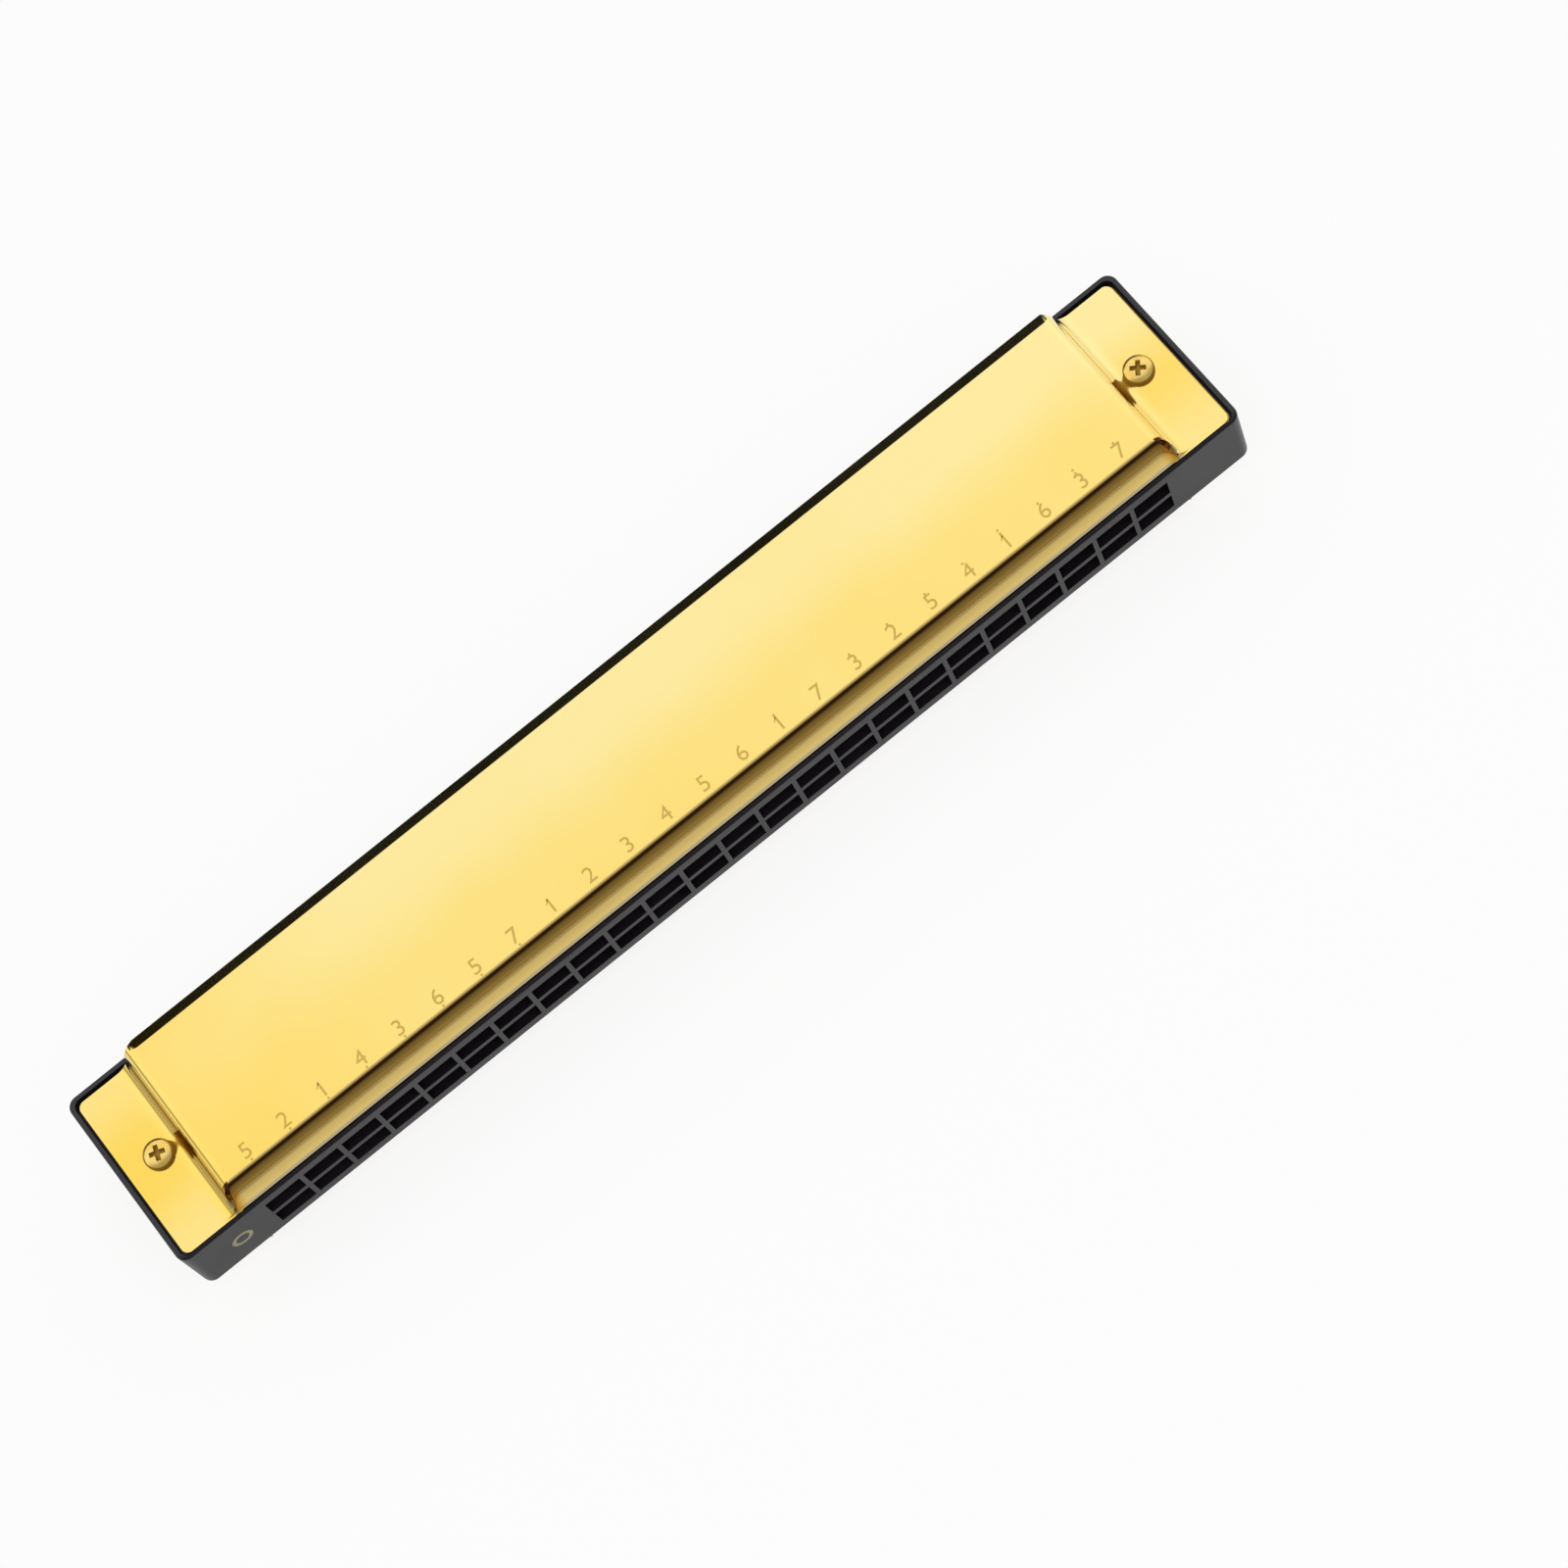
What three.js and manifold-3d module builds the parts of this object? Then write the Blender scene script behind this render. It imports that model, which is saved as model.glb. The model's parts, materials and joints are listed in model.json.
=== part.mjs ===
// Tremolo harmonica with 24 columns of double mouth holes. A moulded comb carries a brass reed plate
// above and below, each with 24 free reeds, and a pressed metal cover is screwed over each plate.
// Millimetres. +X runs along the comb towards the high notes, the mouth side faces -Y, +Z is up.
// The origin is under the middle of the lower cover, which the instrument lies on.
import * as THREE from 'three';
import { mergeVertices } from 'three/addons/utils/BufferGeometryUtils.js';
import Module from 'manifold-3d';

const wasm = await Module();
wasm.setup();

function degrees(angle) {
  return THREE.MathUtils.degToRad(angle);
}

// Comb
const combLength = 168;
const combDepth = 26.8;
const combHeight = 11.4;
const combCornerRadius = 1.5;
const combEdgeRadius = 0.35;
const rimWidth = 0.7; // lip round the recess at both ends and the rear
const frontRimWidth = 0.45;
const recessCornerRadius = 1.1;

// Columns of mouth holes and their chambers
const columnCount = 24;
const endBlockLength = 12; // solid end of the comb, past the first and the last column
const wallThickness = 0.65; // between neighbouring columns
const webThickness = 0.9; // between the upper and the lower row
const holeRoofThickness = 0.4; // between a mouth hole and the recess for the plate
const mouthBandDepth = 2.7; // run of the mouth hole before the chamber opens to the plate
const chamberEndRoom = 0.6;
const rearWallThickness = 1.45; // behind the longest chamber

// Gaps between pieces
const seatGap = 0.05;
const edgeGap = 0.4; // plate or cover to the rim at the ends
const rearEdgeGap = 0.6;
const frontEdgeGap = 0.15;
const screwClearance = 0.15;
const overrun = 1; // how far cutting tools reach past a face

// Reed plates
const plateThickness = 1;
const plateCornerRadius = 1;
const slotWidth = 2.7;
const slotSetback = 5.7; // mouth face to the front end of the slots
const slotTipClearance = 0.3;

// Reeds: the free tongue, and its root pad and rivet, which stay with the plate
const highReedLength = 8.8;
const reedWidth = 2.2;
const reedRootThickness = 0.34;
const reedWaistThickness = 0.22;
const reedTipThickness = 0.3;
const reedWaistStartShare = 0.15;
const reedWaistEndShare = 0.6;
const reedLift = 0.15; // tongue to plate at rest
const reedRootGap = 0.1; // tongue to its pad
const padLength = 2.4;
const padWidth = 2.5;
const rivetRadius = 0.75;
const rivetHeadHeight = 0.3;
const rivetSides = 8;

// Covers
const sheetThickness = 0.4;
const coverRise = 4.2; // top of the cover above the comb's rim
const coverCornerRadius = 1;
const tabLength = 6.3; // flat end tab, from the cover's end to the foot of the step
const stepAngle = degrees(76); // wall of the end step
const stepFootRadius = 2.2;
const stepShoulderRadius = 1.7;
const bandLipAngle = degrees(4); // front edge of the hollowed front band
const bandBendAngle = degrees(10); // where its gentle hollow turns into the sharp one
const bandWallAngle = degrees(90);
const bandLipRadius = 16.8;
const bandBendRadius = 0.3;
const bandEndRun = 0.3; // depth of the band at its tips
const bandEndLength = 1.6; // rounding of the band's two ends, along the cover
const bandEndSetback = 2.2; // foot of the step to the tip of the band
const coverEdgeRadius = 0.9; // rounded edge between the raised top and the band's wall
const coverEdgeAngle = degrees(55); // where that edge meets the wall
const lipAngle = degrees(27); // rear edge, bent down over the sound opening
const lipBendRadius = 0.5;
const lipRun = 1.8;
const lipOverhang = 0.95; // rear edge of the lip past the rear edge of the tabs
const lipEndLength = 0.5; // along the cover, from the full lip to none
const lipEndOverlap = 0.8; // how far the lip reaches onto the rounded shoulder
const hollowFacets = 2;
const edgeFacets = 2;
const lipFacets = 2;
const stepFacets = 3;
const middleColumnShare = 0.5;
const bandEndFacets = 4;
const cornerFacets = 3;

// Cover screws
const screwSetback = 4.7; // end of the cover to the screw's axis
const screwHeadRadius = 2.05;
const screwHeadHeight = 0.95;
const screwHeadEdge = 0.22;
const screwHeadFlatness = 3; // exponent of its section, where 2 is half an ellipse
const screwShankRadius = 1.1;
const screwLength = 5.1;
const screwTipLength = 1;
const screwSides = 16;
const domeFacets = 4;
const crossLength = 2.3;
const crossWidth = 0.6;
const crossDepth = 0.6;
const leftScrewTurn = degrees(-19); // each screw stops at its own angle
const rightScrewTurn = degrees(-37);
const pilotRoom = 0.25; // below the screw's tip

// Places that follow from the sizes
const recessDepth = plateThickness + sheetThickness + 2 * seatGap;
const totalHeight = combHeight + 2 * coverRise;
const mouthY = -combDepth / 2;
const recessFloorZ = combHeight / 2 - recessDepth;
const plateBottomZ = recessFloorZ + seatGap;
const plateTopZ = plateBottomZ + plateThickness;
const tabBottomZ = plateTopZ + seatGap;
const coverHalfLength = combLength / 2 - rimWidth - edgeGap;
const coverFrontY = mouthY + frontRimWidth + frontEdgeGap;
const coverRearY = combDepth / 2 - rimWidth - rearEdgeGap;
const coverDepth = coverRearY - coverFrontY;
const stepFootX = coverHalfLength - tabLength;
const stepWallRise = coverRise - (stepFootRadius + stepShoulderRadius) * (1 - Math.cos(stepAngle));
const stepWallFootX = stepFootX - stepFootRadius * Math.sin(stepAngle);
const stepWallTopX = stepWallFootX - stepWallRise / Math.tan(stepAngle);
const shoulderX = stepWallTopX - stepShoulderRadius * Math.sin(stepAngle);
const bandEndX = stepFootX - bandEndSetback;
const lipEndX = shoulderX + lipEndOverlap;
const screwX = coverHalfLength - screwSetback;
const slotFrontY = mouthY + slotSetback;
const columnPitch = (combLength - 2 * endBlockLength) / columnCount;
const holeWidth = columnPitch - wallThickness;
const holeHeight = recessFloorZ - holeRoofThickness - webThickness / 2;
const reedRoom = slotTipClearance + reedRootGap + padLength + chamberEndRoom;
const lowReedLength = combDepth / 2 - rearWallThickness - slotFrontY - reedRoom;

const brass = { color: 0xc9a552, roughness: 0.32, metalness: 1 };
const finishes = {
  comb: { color: 0x2b292c, roughness: 0.42, metalness: 0 },
  plate: brass,
  reed: { color: 0xd9bb6a, roughness: 0.28, metalness: 1 },
  cover: { color: 0xf6d26c, roughness: 0.12, metalness: 1 },
  screw: { color: 0xe8c163, roughness: 0.18, metalness: 1 },
};

// Solids

function solid(geometry) {
  const bare = geometry.clone();
  bare.deleteAttribute('normal');
  bare.deleteAttribute('uv');
  const merged = mergeVertices(bare);
  return new wasm.Manifold(new wasm.Mesh({
    numProp: 3,
    vertProperties: new Float32Array(merged.getAttribute('position').array),
    triVerts: new Uint32Array(merged.getIndex().array),
  }));
}

function geometryOf(manifold) {
  const mesh = manifold.getMesh();
  const geometry = new THREE.BufferGeometry();
  geometry.setAttribute('position', new THREE.BufferAttribute(mesh.vertProperties, 3));
  geometry.setIndex(new THREE.BufferAttribute(mesh.triVerts, 1));
  return geometry;
}

function joined(solids) {
  return solids.reduce((whole, piece) => whole.add(piece));
}

function box(x0, x1, y0, y1, z0, z1) {
  const geometry = new THREE.BoxGeometry(x1 - x0, y1 - y0, z1 - z0);
  return geometry.translate((x0 + x1) / 2, (y0 + y1) / 2, (z0 + z1) / 2);
}

function upright(radius, z0, z1, sides) {
  const geometry = new THREE.CylinderGeometry(radius, radius, z1 - z0, sides);
  return geometry.rotateX(Math.PI / 2).translate(0, 0, (z0 + z1) / 2);
}

// The same piece for the lower side: mirrored in the comb's middle plane, with its faces turned back out
function mirrored(geometry) {
  const copy = geometry.index ? geometry.clone() : mergeVertices(geometry);
  copy.scale(1, 1, -1);
  const index = copy.getIndex();
  for (let i = 0; i < index.count; i += 3) {
    const first = index.getX(i);
    index.setX(i, index.getX(i + 2));
    index.setX(i + 2, first);
  }
  return copy;
}

function roundedOutline(x0, x1, y0, y1, radius) {
  const shape = new THREE.Shape();
  shape.absarc(x1 - radius, y0 + radius, radius, -Math.PI / 2, 0);
  shape.absarc(x1 - radius, y1 - radius, radius, 0, Math.PI / 2);
  shape.absarc(x0 + radius, y1 - radius, radius, Math.PI / 2, Math.PI);
  shape.absarc(x0 + radius, y0 + radius, radius, Math.PI, 1.5 * Math.PI);
  shape.closePath();
  return shape;
}

// Columns, numbered from 1 at the low end

function columnX(column) {
  return (column - (columnCount + 1) / 2) * columnPitch;
}

function reedLength(column) {
  const share = (column - 1) / (columnCount - 1);
  return lowReedLength * (highReedLength / lowReedLength) ** share;
}

// Odd columns sound on blowing: their reeds lie on the chamber side and are riveted at the rear.
// Even columns sound on drawing: their reeds lie on the cover side and are riveted at the front.
function blows(column) {
  return column % 2 === 1;
}

function rootY(column) {
  return blows(column) ? slotFrontY + slotTipClearance + reedLength(column) : slotFrontY;
}

function chamberRearY(column) {
  return slotFrontY + reedLength(column) + reedRoom;
}

// The screw holes at both ends, through the plate and the cover and down to the pilot hole's floor
function screwHoles() {
  const tipZ = combHeight / 2 + seatGap - screwLength - pilotRoom;
  const radius = screwShankRadius + screwClearance;
  const holes = [-1, 1].map((side) => (
    solid(upright(radius, tipZ, combHeight / 2 + overrun, screwSides).translate(side * screwX, 0, 0))
  ));
  return joined(holes);
}

// Comb: a rounded bar with a recess for the plate and the cover on both sides, two rows of chambers,
// and blind holes for the cover screws

function combOutside() {
  const outline = roundedOutline(
    -combLength / 2, combLength / 2, -combDepth / 2, combDepth / 2, combCornerRadius);
  const geometry = new THREE.ExtrudeGeometry(outline, {
    depth: combHeight - 2 * combEdgeRadius,
    curveSegments: 5,
    bevelSegments: 3,
    bevelSize: combEdgeRadius,
    bevelThickness: combEdgeRadius,
    bevelOffset: -combEdgeRadius,
  });
  return geometry.translate(0, 0, combEdgeRadius - combHeight / 2);
}

function combRecess() {
  const outline = roundedOutline(
    -combLength / 2 + rimWidth, combLength / 2 - rimWidth,
    mouthY + frontRimWidth, combDepth / 2 - rimWidth, recessCornerRadius);
  const geometry = new THREE.ExtrudeGeometry(outline, {
    depth: recessDepth + overrun, curveSegments: 4, bevelEnabled: false,
  });
  return geometry.translate(0, 0, recessFloorZ);
}

function combCuts() {
  const cuts = [combRecess()];
  for (let column = 1; column <= columnCount; column += 1) {
    const left = columnX(column) - holeWidth / 2;
    const right = columnX(column) + holeWidth / 2;
    const floorZ = webThickness / 2;
    const chamberY = mouthY + mouthBandDepth;
    cuts.push(box(left, right, mouthY - overrun, chamberY + overrun, floorZ, floorZ + holeHeight));
    cuts.push(box(left, right, chamberY, chamberRearY(column), floorZ, recessFloorZ + overrun));
  }
  return joined(cuts.map(solid)).add(screwHoles());
}

function combGeometry() {
  const upper = combCuts();
  const lower = solid(mirrored(geometryOf(upper)));
  return geometryOf(solid(combOutside()).subtract(upper).subtract(lower));
}

// Reed plate: a brass sheet with a slot for each tongue, and the riveted roots of the reeds

function plateSheet() {
  const outline = roundedOutline(
    -coverHalfLength, coverHalfLength, coverFrontY, coverRearY, plateCornerRadius);
  const geometry = new THREE.ExtrudeGeometry(outline, {
    depth: plateThickness, curveSegments: 4, bevelEnabled: false,
  });
  return solid(geometry.translate(0, 0, plateBottomZ));
}

function plateSlots() {
  const slots = [];
  for (let column = 1; column <= columnCount; column += 1) {
    const x = columnX(column);
    const rearY = slotFrontY + slotTipClearance + reedLength(column);
    slots.push(solid(box(x - slotWidth / 2, x + slotWidth / 2, slotFrontY, rearY,
      plateBottomZ - overrun, plateTopZ + overrun)));
  }
  return joined(slots);
}

// The pad is as thick as the tongue's root and its lift, so that the tongue stands clear of the plate
function rivetedRoot(column) {
  const x = columnX(column);
  const padHeight = reedLift + reedRootThickness;
  const away = blows(column) ? 1 : -1;
  const nearY = rootY(column) + away * reedRootGap;
  const farY = nearY + away * padLength;
  const padZ = blows(column) ? plateBottomZ - padHeight : plateTopZ;
  const pad = box(x - padWidth / 2, x + padWidth / 2,
    Math.min(nearY, farY), Math.max(nearY, farY), padZ, padZ + padHeight);
  const headZ = blows(column) ? padZ - rivetHeadHeight : plateBottomZ - rivetHeadHeight;
  const topZ = blows(column) ? plateTopZ + rivetHeadHeight : padZ + padHeight + rivetHeadHeight;
  const rivet = upright(rivetRadius, headZ, topZ, rivetSides).translate(x, (nearY + farY) / 2, 0);
  return solid(pad).add(solid(rivet));
}

function plateGeometry() {
  const roots = [];
  for (let column = 1; column <= columnCount; column += 1) {
    roots.push(rivetedRoot(column));
  }
  return geometryOf(plateSheet().subtract(plateSlots()).subtract(screwHoles()).add(joined(roots)));
}

// Reed: the free tongue of one slot, thinned behind its root. Its flat side faces the plate.
function reedGeometry(column) {
  const length = reedLength(column);
  const profile = new THREE.Shape();
  profile.moveTo(0, 0);
  profile.lineTo(length, 0);
  profile.lineTo(length, reedTipThickness);
  profile.lineTo(length * reedWaistEndShare, reedWaistThickness);
  profile.lineTo(length * reedWaistStartShare, reedWaistThickness);
  profile.lineTo(0, reedRootThickness);
  profile.closePath();
  const geometry = new THREE.ExtrudeGeometry(profile, { depth: reedWidth, bevelEnabled: false });
  geometry.rotateX(Math.PI / 2).rotateZ(Math.PI / 2).translate(-reedWidth / 2, 0, 0);
  if (blows(column)) {
    geometry.rotateX(Math.PI);
  }
  const restZ = blows(column) ? plateBottomZ - reedLift : plateTopZ + reedLift;
  return geometry.translate(columnX(column), rootY(column), restZ);
}

// Cover: a pressed sheet. Its outline runs from the flat tabs up the rounded end steps to the raised top,
// the front is a hollowed band with rounded ends, and the rear edge is bent down.

// Height of the end step at x and its tilt there
function stepAt(x) {
  const away = Math.abs(x);
  if (away >= stepFootX) {
    return { height: 0, tilt: 0 };
  }
  if (away >= stepWallFootX) {
    const tilt = Math.asin((stepFootX - away) / stepFootRadius);
    return { height: stepFootRadius * (1 - Math.cos(tilt)), tilt };
  }
  const tilt = away > stepWallTopX ? stepAngle
    : Math.asin(Math.max(away - shoulderX, 0) / stepShoulderRadius);
  const below = Math.max(away - stepWallTopX, 0) * Math.tan(stepAngle);
  return { height: coverRise - stepShoulderRadius * (1 - Math.cos(tilt)) - below, tilt };
}

// The front band's section, from its front edge to the top of its wall: two hollows and the wall
function bandSection() {
  const section = [];
  let back = 0;
  let height = 0;
  for (const [radius, from, to] of [
    [bandLipRadius, bandLipAngle, bandBendAngle], [bandBendRadius, bandBendAngle, bandWallAngle],
  ]) {
    for (let i = section.length ? 1 : 0; i <= hollowFacets; i += 1) {
      const tilt = from + (to - from) * (i / hollowFacets);
      section.push({
        back: back + radius * (Math.sin(tilt) - Math.sin(from)),
        height: height + radius * (Math.cos(from) - Math.cos(tilt)),
        tilt,
      });
    }
    ({ back, height } = section[section.length - 1]);
  }
  const wallTop = coverRise - coverEdgeRadius * (1 - Math.cos(coverEdgeAngle));
  section.push({
    back: back + (wallTop - height) / Math.tan(bandWallAngle), height: wallTop, tilt: bandWallAngle,
  });
  return section;
}

// Share of its full depth that the band has at x, drawn in by a quarter of an ellipse at its ends
function bandShare(x, fullRun) {
  const share = (Math.abs(x) - (bandEndX - bandEndLength)) / bandEndLength;
  const tipShare = bandEndRun / fullRun;
  return share <= 0 ? 1 : tipShare + (1 - tipShare) * Math.sqrt(Math.max(1 - share * share, 0));
}

function lipShare(x) {
  return Math.min(Math.max((lipEndX - Math.abs(x)) / lipEndLength, 0), 1);
}

function cornerInset(x) {
  const past = Math.abs(x) - (coverHalfLength - coverCornerRadius);
  return past > 0 ? coverCornerRadius - Math.sqrt(Math.max(coverCornerRadius ** 2 - past ** 2, 0)) : 0;
}

// The rows of the sheet, from the front edge to the rear edge: how far behind the front edge each lies
// at x, its height, and its tilt, forwards where it is positive
function coverRows() {
  const rows = [];
  const section = bandSection();
  const wallBack = section[section.length - 1].back;
  for (const { back, height, tilt } of section) {
    rows.push((x) => ({ back: back * bandShare(x, wallBack), height, tilt }));
  }
  for (let i = 1; i <= edgeFacets; i += 1) {
    const tilt = coverEdgeAngle * (1 - i / edgeFacets);
    rows.push((x) => ({
      back: wallBack * bandShare(x, wallBack)
        + coverEdgeRadius * (Math.sin(coverEdgeAngle) - Math.sin(tilt)),
      height: coverRise - coverEdgeRadius * (1 - Math.cos(tilt)),
      tilt,
    }));
  }
  rows.push(() => ({ back: coverDepth / 2, height: coverRise, tilt: 0 }));
  const lipStart = coverDepth + lipOverhang - lipRun;
  const lipPoint = (share, back, drop, tilt, flatShare) => ({
    back: lipStart + THREE.MathUtils.lerp((coverDepth - lipStart) * flatShare, back, share),
    height: coverRise - share * drop,
    tilt: -share * tilt,
  });
  for (let i = 0; i <= lipFacets; i += 1) {
    const tilt = lipAngle * (i / lipFacets);
    rows.push((x) => lipPoint(lipShare(x), lipBendRadius * Math.sin(tilt),
      lipBendRadius * (1 - Math.cos(tilt)), tilt, i / (lipFacets + 1)));
  }
  const bendRun = lipBendRadius * Math.sin(lipAngle);
  const lipDrop = lipBendRadius * (1 - Math.cos(lipAngle)) + (lipRun - bendRun) * Math.tan(lipAngle);
  rows.push((x) => lipPoint(lipShare(x), lipRun, lipDrop, lipAngle, 1));
  return rows;
}

function coverColumns() {
  const half = [0, shoulderX * middleColumnShare, lipEndX - lipEndLength, lipEndX];
  for (let i = 0; i <= bandEndFacets; i += 1) {
    half.push(bandEndX - bandEndLength * (1 - Math.sin((i / bandEndFacets) * Math.PI / 2)));
  }
  for (let i = 0; i <= stepFacets; i += 1) {
    const tilt = stepAngle * (i / stepFacets);
    half.push(stepFootX - stepFootRadius * Math.sin(tilt));
    half.push(shoulderX + stepShoulderRadius * Math.sin(tilt));
  }
  for (let i = 0; i <= cornerFacets; i += 1) {
    const angle = (i / cornerFacets) * Math.PI / 2;
    half.push(coverHalfLength - coverCornerRadius * (1 - Math.sin(angle)));
  }
  half.sort((a, b) => a - b);
  const apart = half.filter((x, i) => i === 0 || x - half[i - 1] > sheetThickness / 10);
  return [...apart.slice(1).reverse().map((x) => -x), ...apart];
}

// A point of the sheet's outer face, or of its inner one, a sheet's thickness behind it
function coverPoint(x, row, inner) {
  const { back, height, tilt } = row(x);
  const step = stepAt(x);
  const inset = cornerInset(x);
  const scale = (coverDepth - 2 * inset) / coverDepth;
  const thickness = inner ? sheetThickness : 0;
  const y = coverFrontY + inset + scale * (back + thickness * Math.sin(tilt));
  const z = Math.min(height - thickness * Math.cos(tilt), step.height - thickness * Math.cos(step.tilt));
  return [x - Math.sign(x) * thickness * Math.sin(step.tilt), y, tabBottomZ + sheetThickness + z];
}

// A closed shell from two like grids of points, the outer face above the inner one
function shellGeometry(columns, rows, point) {
  const positions = [];
  const index = [];
  const place = (layer, i, j) => (layer * columns.length + i) * rows.length + j;
  for (const inner of [false, true]) {
    for (const x of columns) {
      for (const row of rows) {
        positions.push(...point(x, row, inner));
      }
    }
  }
  const face = (a, b, c, d) => index.push(a, b, c, a, c, d);
  for (let i = 0; i + 1 < columns.length; i += 1) {
    for (let j = 0; j + 1 < rows.length; j += 1) {
      face(place(0, i, j), place(0, i + 1, j), place(0, i + 1, j + 1), place(0, i, j + 1));
      face(place(1, i, j), place(1, i, j + 1), place(1, i + 1, j + 1), place(1, i + 1, j));
    }
    const last = rows.length - 1;
    face(place(1, i, 0), place(1, i + 1, 0), place(0, i + 1, 0), place(0, i, 0));
    face(place(0, i, last), place(0, i + 1, last), place(1, i + 1, last), place(1, i, last));
  }
  for (let j = 0; j + 1 < rows.length; j += 1) {
    const last = columns.length - 1;
    face(place(0, 0, j), place(0, 0, j + 1), place(1, 0, j + 1), place(1, 0, j));
    face(place(1, last, j), place(1, last, j + 1), place(0, last, j + 1), place(0, last, j));
  }
  const geometry = new THREE.BufferGeometry();
  geometry.setAttribute('position', new THREE.Float32BufferAttribute(positions, 3));
  geometry.setIndex(index);
  return geometry;
}

function coverGeometry() {
  const sheet = solid(shellGeometry(coverColumns(), coverRows(), coverPoint));
  return geometryOf(sheet.subtract(screwHoles()));
}

// Screw: a domed head with a cross recess, standing on its head's underside at z = 0
function screwGeometry() {
  const profile = [new THREE.Vector2(0, -screwLength)];
  profile.push(new THREE.Vector2(screwShankRadius, screwTipLength - screwLength));
  profile.push(new THREE.Vector2(screwShankRadius, 0));
  profile.push(new THREE.Vector2(screwHeadRadius, 0));
  for (let i = 0; i <= domeFacets; i += 1) {
    const angle = (i / domeFacets) * Math.PI / 2;
    const radiusShare = i === domeFacets ? 0 : Math.cos(angle) ** (2 / screwHeadFlatness);
    const heightShare = Math.sin(angle) ** (2 / screwHeadFlatness);
    profile.push(new THREE.Vector2(
      screwHeadRadius * radiusShare,
      screwHeadEdge + (screwHeadHeight - screwHeadEdge) * heightShare));
  }
  const body = new THREE.LatheGeometry(profile, screwSides).rotateX(Math.PI / 2);
  const floorZ = screwHeadHeight - crossDepth;
  const topZ = screwHeadHeight + overrun;
  const along = box(-crossLength / 2, crossLength / 2, -crossWidth / 2, crossWidth / 2, floorZ, topZ);
  const across = box(-crossWidth / 2, crossWidth / 2, -crossLength / 2, crossLength / 2, floorZ, topZ);
  const cross = solid(along).add(solid(across));
  return geometryOf(solid(body).subtract(cross));
}

// Assembly, about the middle of the comb

const harmonica = new THREE.Group();
harmonica.position.z = totalHeight / 2;

function place(name, geometry, finish) {
  const mesh = new THREE.Mesh(geometry, new THREE.MeshStandardMaterial(finish));
  mesh.name = name;
  harmonica.add(mesh);
  return mesh;
}

place('comb', combGeometry(), finishes.comb);

const plate = plateGeometry();
place('upper_reed_plate', plate, finishes.plate);
place('lower_reed_plate', mirrored(plate), finishes.plate);

for (let column = 1; column <= columnCount; column += 1) {
  const number = String(column).padStart(2, '0');
  const reed = reedGeometry(column);
  place(`upper_reed_${number}`, reed, finishes.reed);
  place(`lower_reed_${number}`, mirrored(reed), finishes.reed);
}

const cover = coverGeometry();
place('upper_cover', cover, finishes.cover);
place('lower_cover', cover, finishes.cover).rotation.y = Math.PI;

const screw = screwGeometry();
for (const [end, side, turn] of [['left', -1, leftScrewTurn], ['right', 1, rightScrewTurn]]) {
  const headZ = tabBottomZ + sheetThickness + seatGap;
  const over = place(`upper_screw_${end}`, screw, finishes.screw);
  over.position.set(side * screwX, 0, headZ);
  over.rotation.z = turn;
  const under = place(`lower_screw_${end}`, screw, finishes.screw);
  under.position.set(side * screwX, 0, -headZ);
  under.rotation.set(0, Math.PI, turn);
}

const model = new THREE.Group();
model.add(harmonica);

export default model;
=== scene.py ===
import json
import math

import bmesh
import bpy
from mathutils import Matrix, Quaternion, Vector

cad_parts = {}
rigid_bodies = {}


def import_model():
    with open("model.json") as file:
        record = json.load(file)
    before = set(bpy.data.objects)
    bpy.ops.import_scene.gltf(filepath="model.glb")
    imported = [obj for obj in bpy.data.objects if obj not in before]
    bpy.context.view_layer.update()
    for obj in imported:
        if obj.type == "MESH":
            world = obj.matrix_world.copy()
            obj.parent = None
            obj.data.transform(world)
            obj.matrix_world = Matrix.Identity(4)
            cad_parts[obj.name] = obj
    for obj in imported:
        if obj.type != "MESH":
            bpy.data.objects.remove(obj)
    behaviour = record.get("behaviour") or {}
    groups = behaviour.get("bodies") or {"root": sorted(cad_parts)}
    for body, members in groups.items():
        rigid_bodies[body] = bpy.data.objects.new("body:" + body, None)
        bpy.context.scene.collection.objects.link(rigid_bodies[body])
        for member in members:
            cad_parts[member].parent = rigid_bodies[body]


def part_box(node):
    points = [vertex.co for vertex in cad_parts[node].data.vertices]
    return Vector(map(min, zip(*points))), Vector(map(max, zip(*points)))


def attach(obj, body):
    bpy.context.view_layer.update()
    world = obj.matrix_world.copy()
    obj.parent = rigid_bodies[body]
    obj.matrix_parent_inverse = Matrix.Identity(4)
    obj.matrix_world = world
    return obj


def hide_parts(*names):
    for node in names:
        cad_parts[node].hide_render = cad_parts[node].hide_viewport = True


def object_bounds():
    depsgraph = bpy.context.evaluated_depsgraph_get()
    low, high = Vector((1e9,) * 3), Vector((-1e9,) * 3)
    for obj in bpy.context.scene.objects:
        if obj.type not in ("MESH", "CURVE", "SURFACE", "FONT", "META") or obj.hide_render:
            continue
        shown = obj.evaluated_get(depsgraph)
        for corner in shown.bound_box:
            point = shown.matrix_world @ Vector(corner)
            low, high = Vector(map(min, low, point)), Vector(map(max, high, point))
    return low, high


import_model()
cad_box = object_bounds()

# The comb is one injection moulding in black ABS. A rim stands round the recess of each side, and
# two rows of mouth holes lead into chambers that open to the reed plates. Its edges are rounded.
mm = 0.001
comb_low, comb_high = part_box("comb")
comb_mid_z = (comb_low.z + comb_high.z) / 2
column_count = 24
end_block = 12 * mm
column_pitch = (comb_high.x - comb_low.x - 2 * end_block) / column_count
wall_between_holes = 0.65 * mm
hole_width = column_pitch - wall_between_holes
web_thickness = 0.9 * mm
hole_roof = 0.4 * mm
mouth_band = 2.7 * mm
rim_width = 0.7 * mm
front_rim_width = 0.45 * mm
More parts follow.
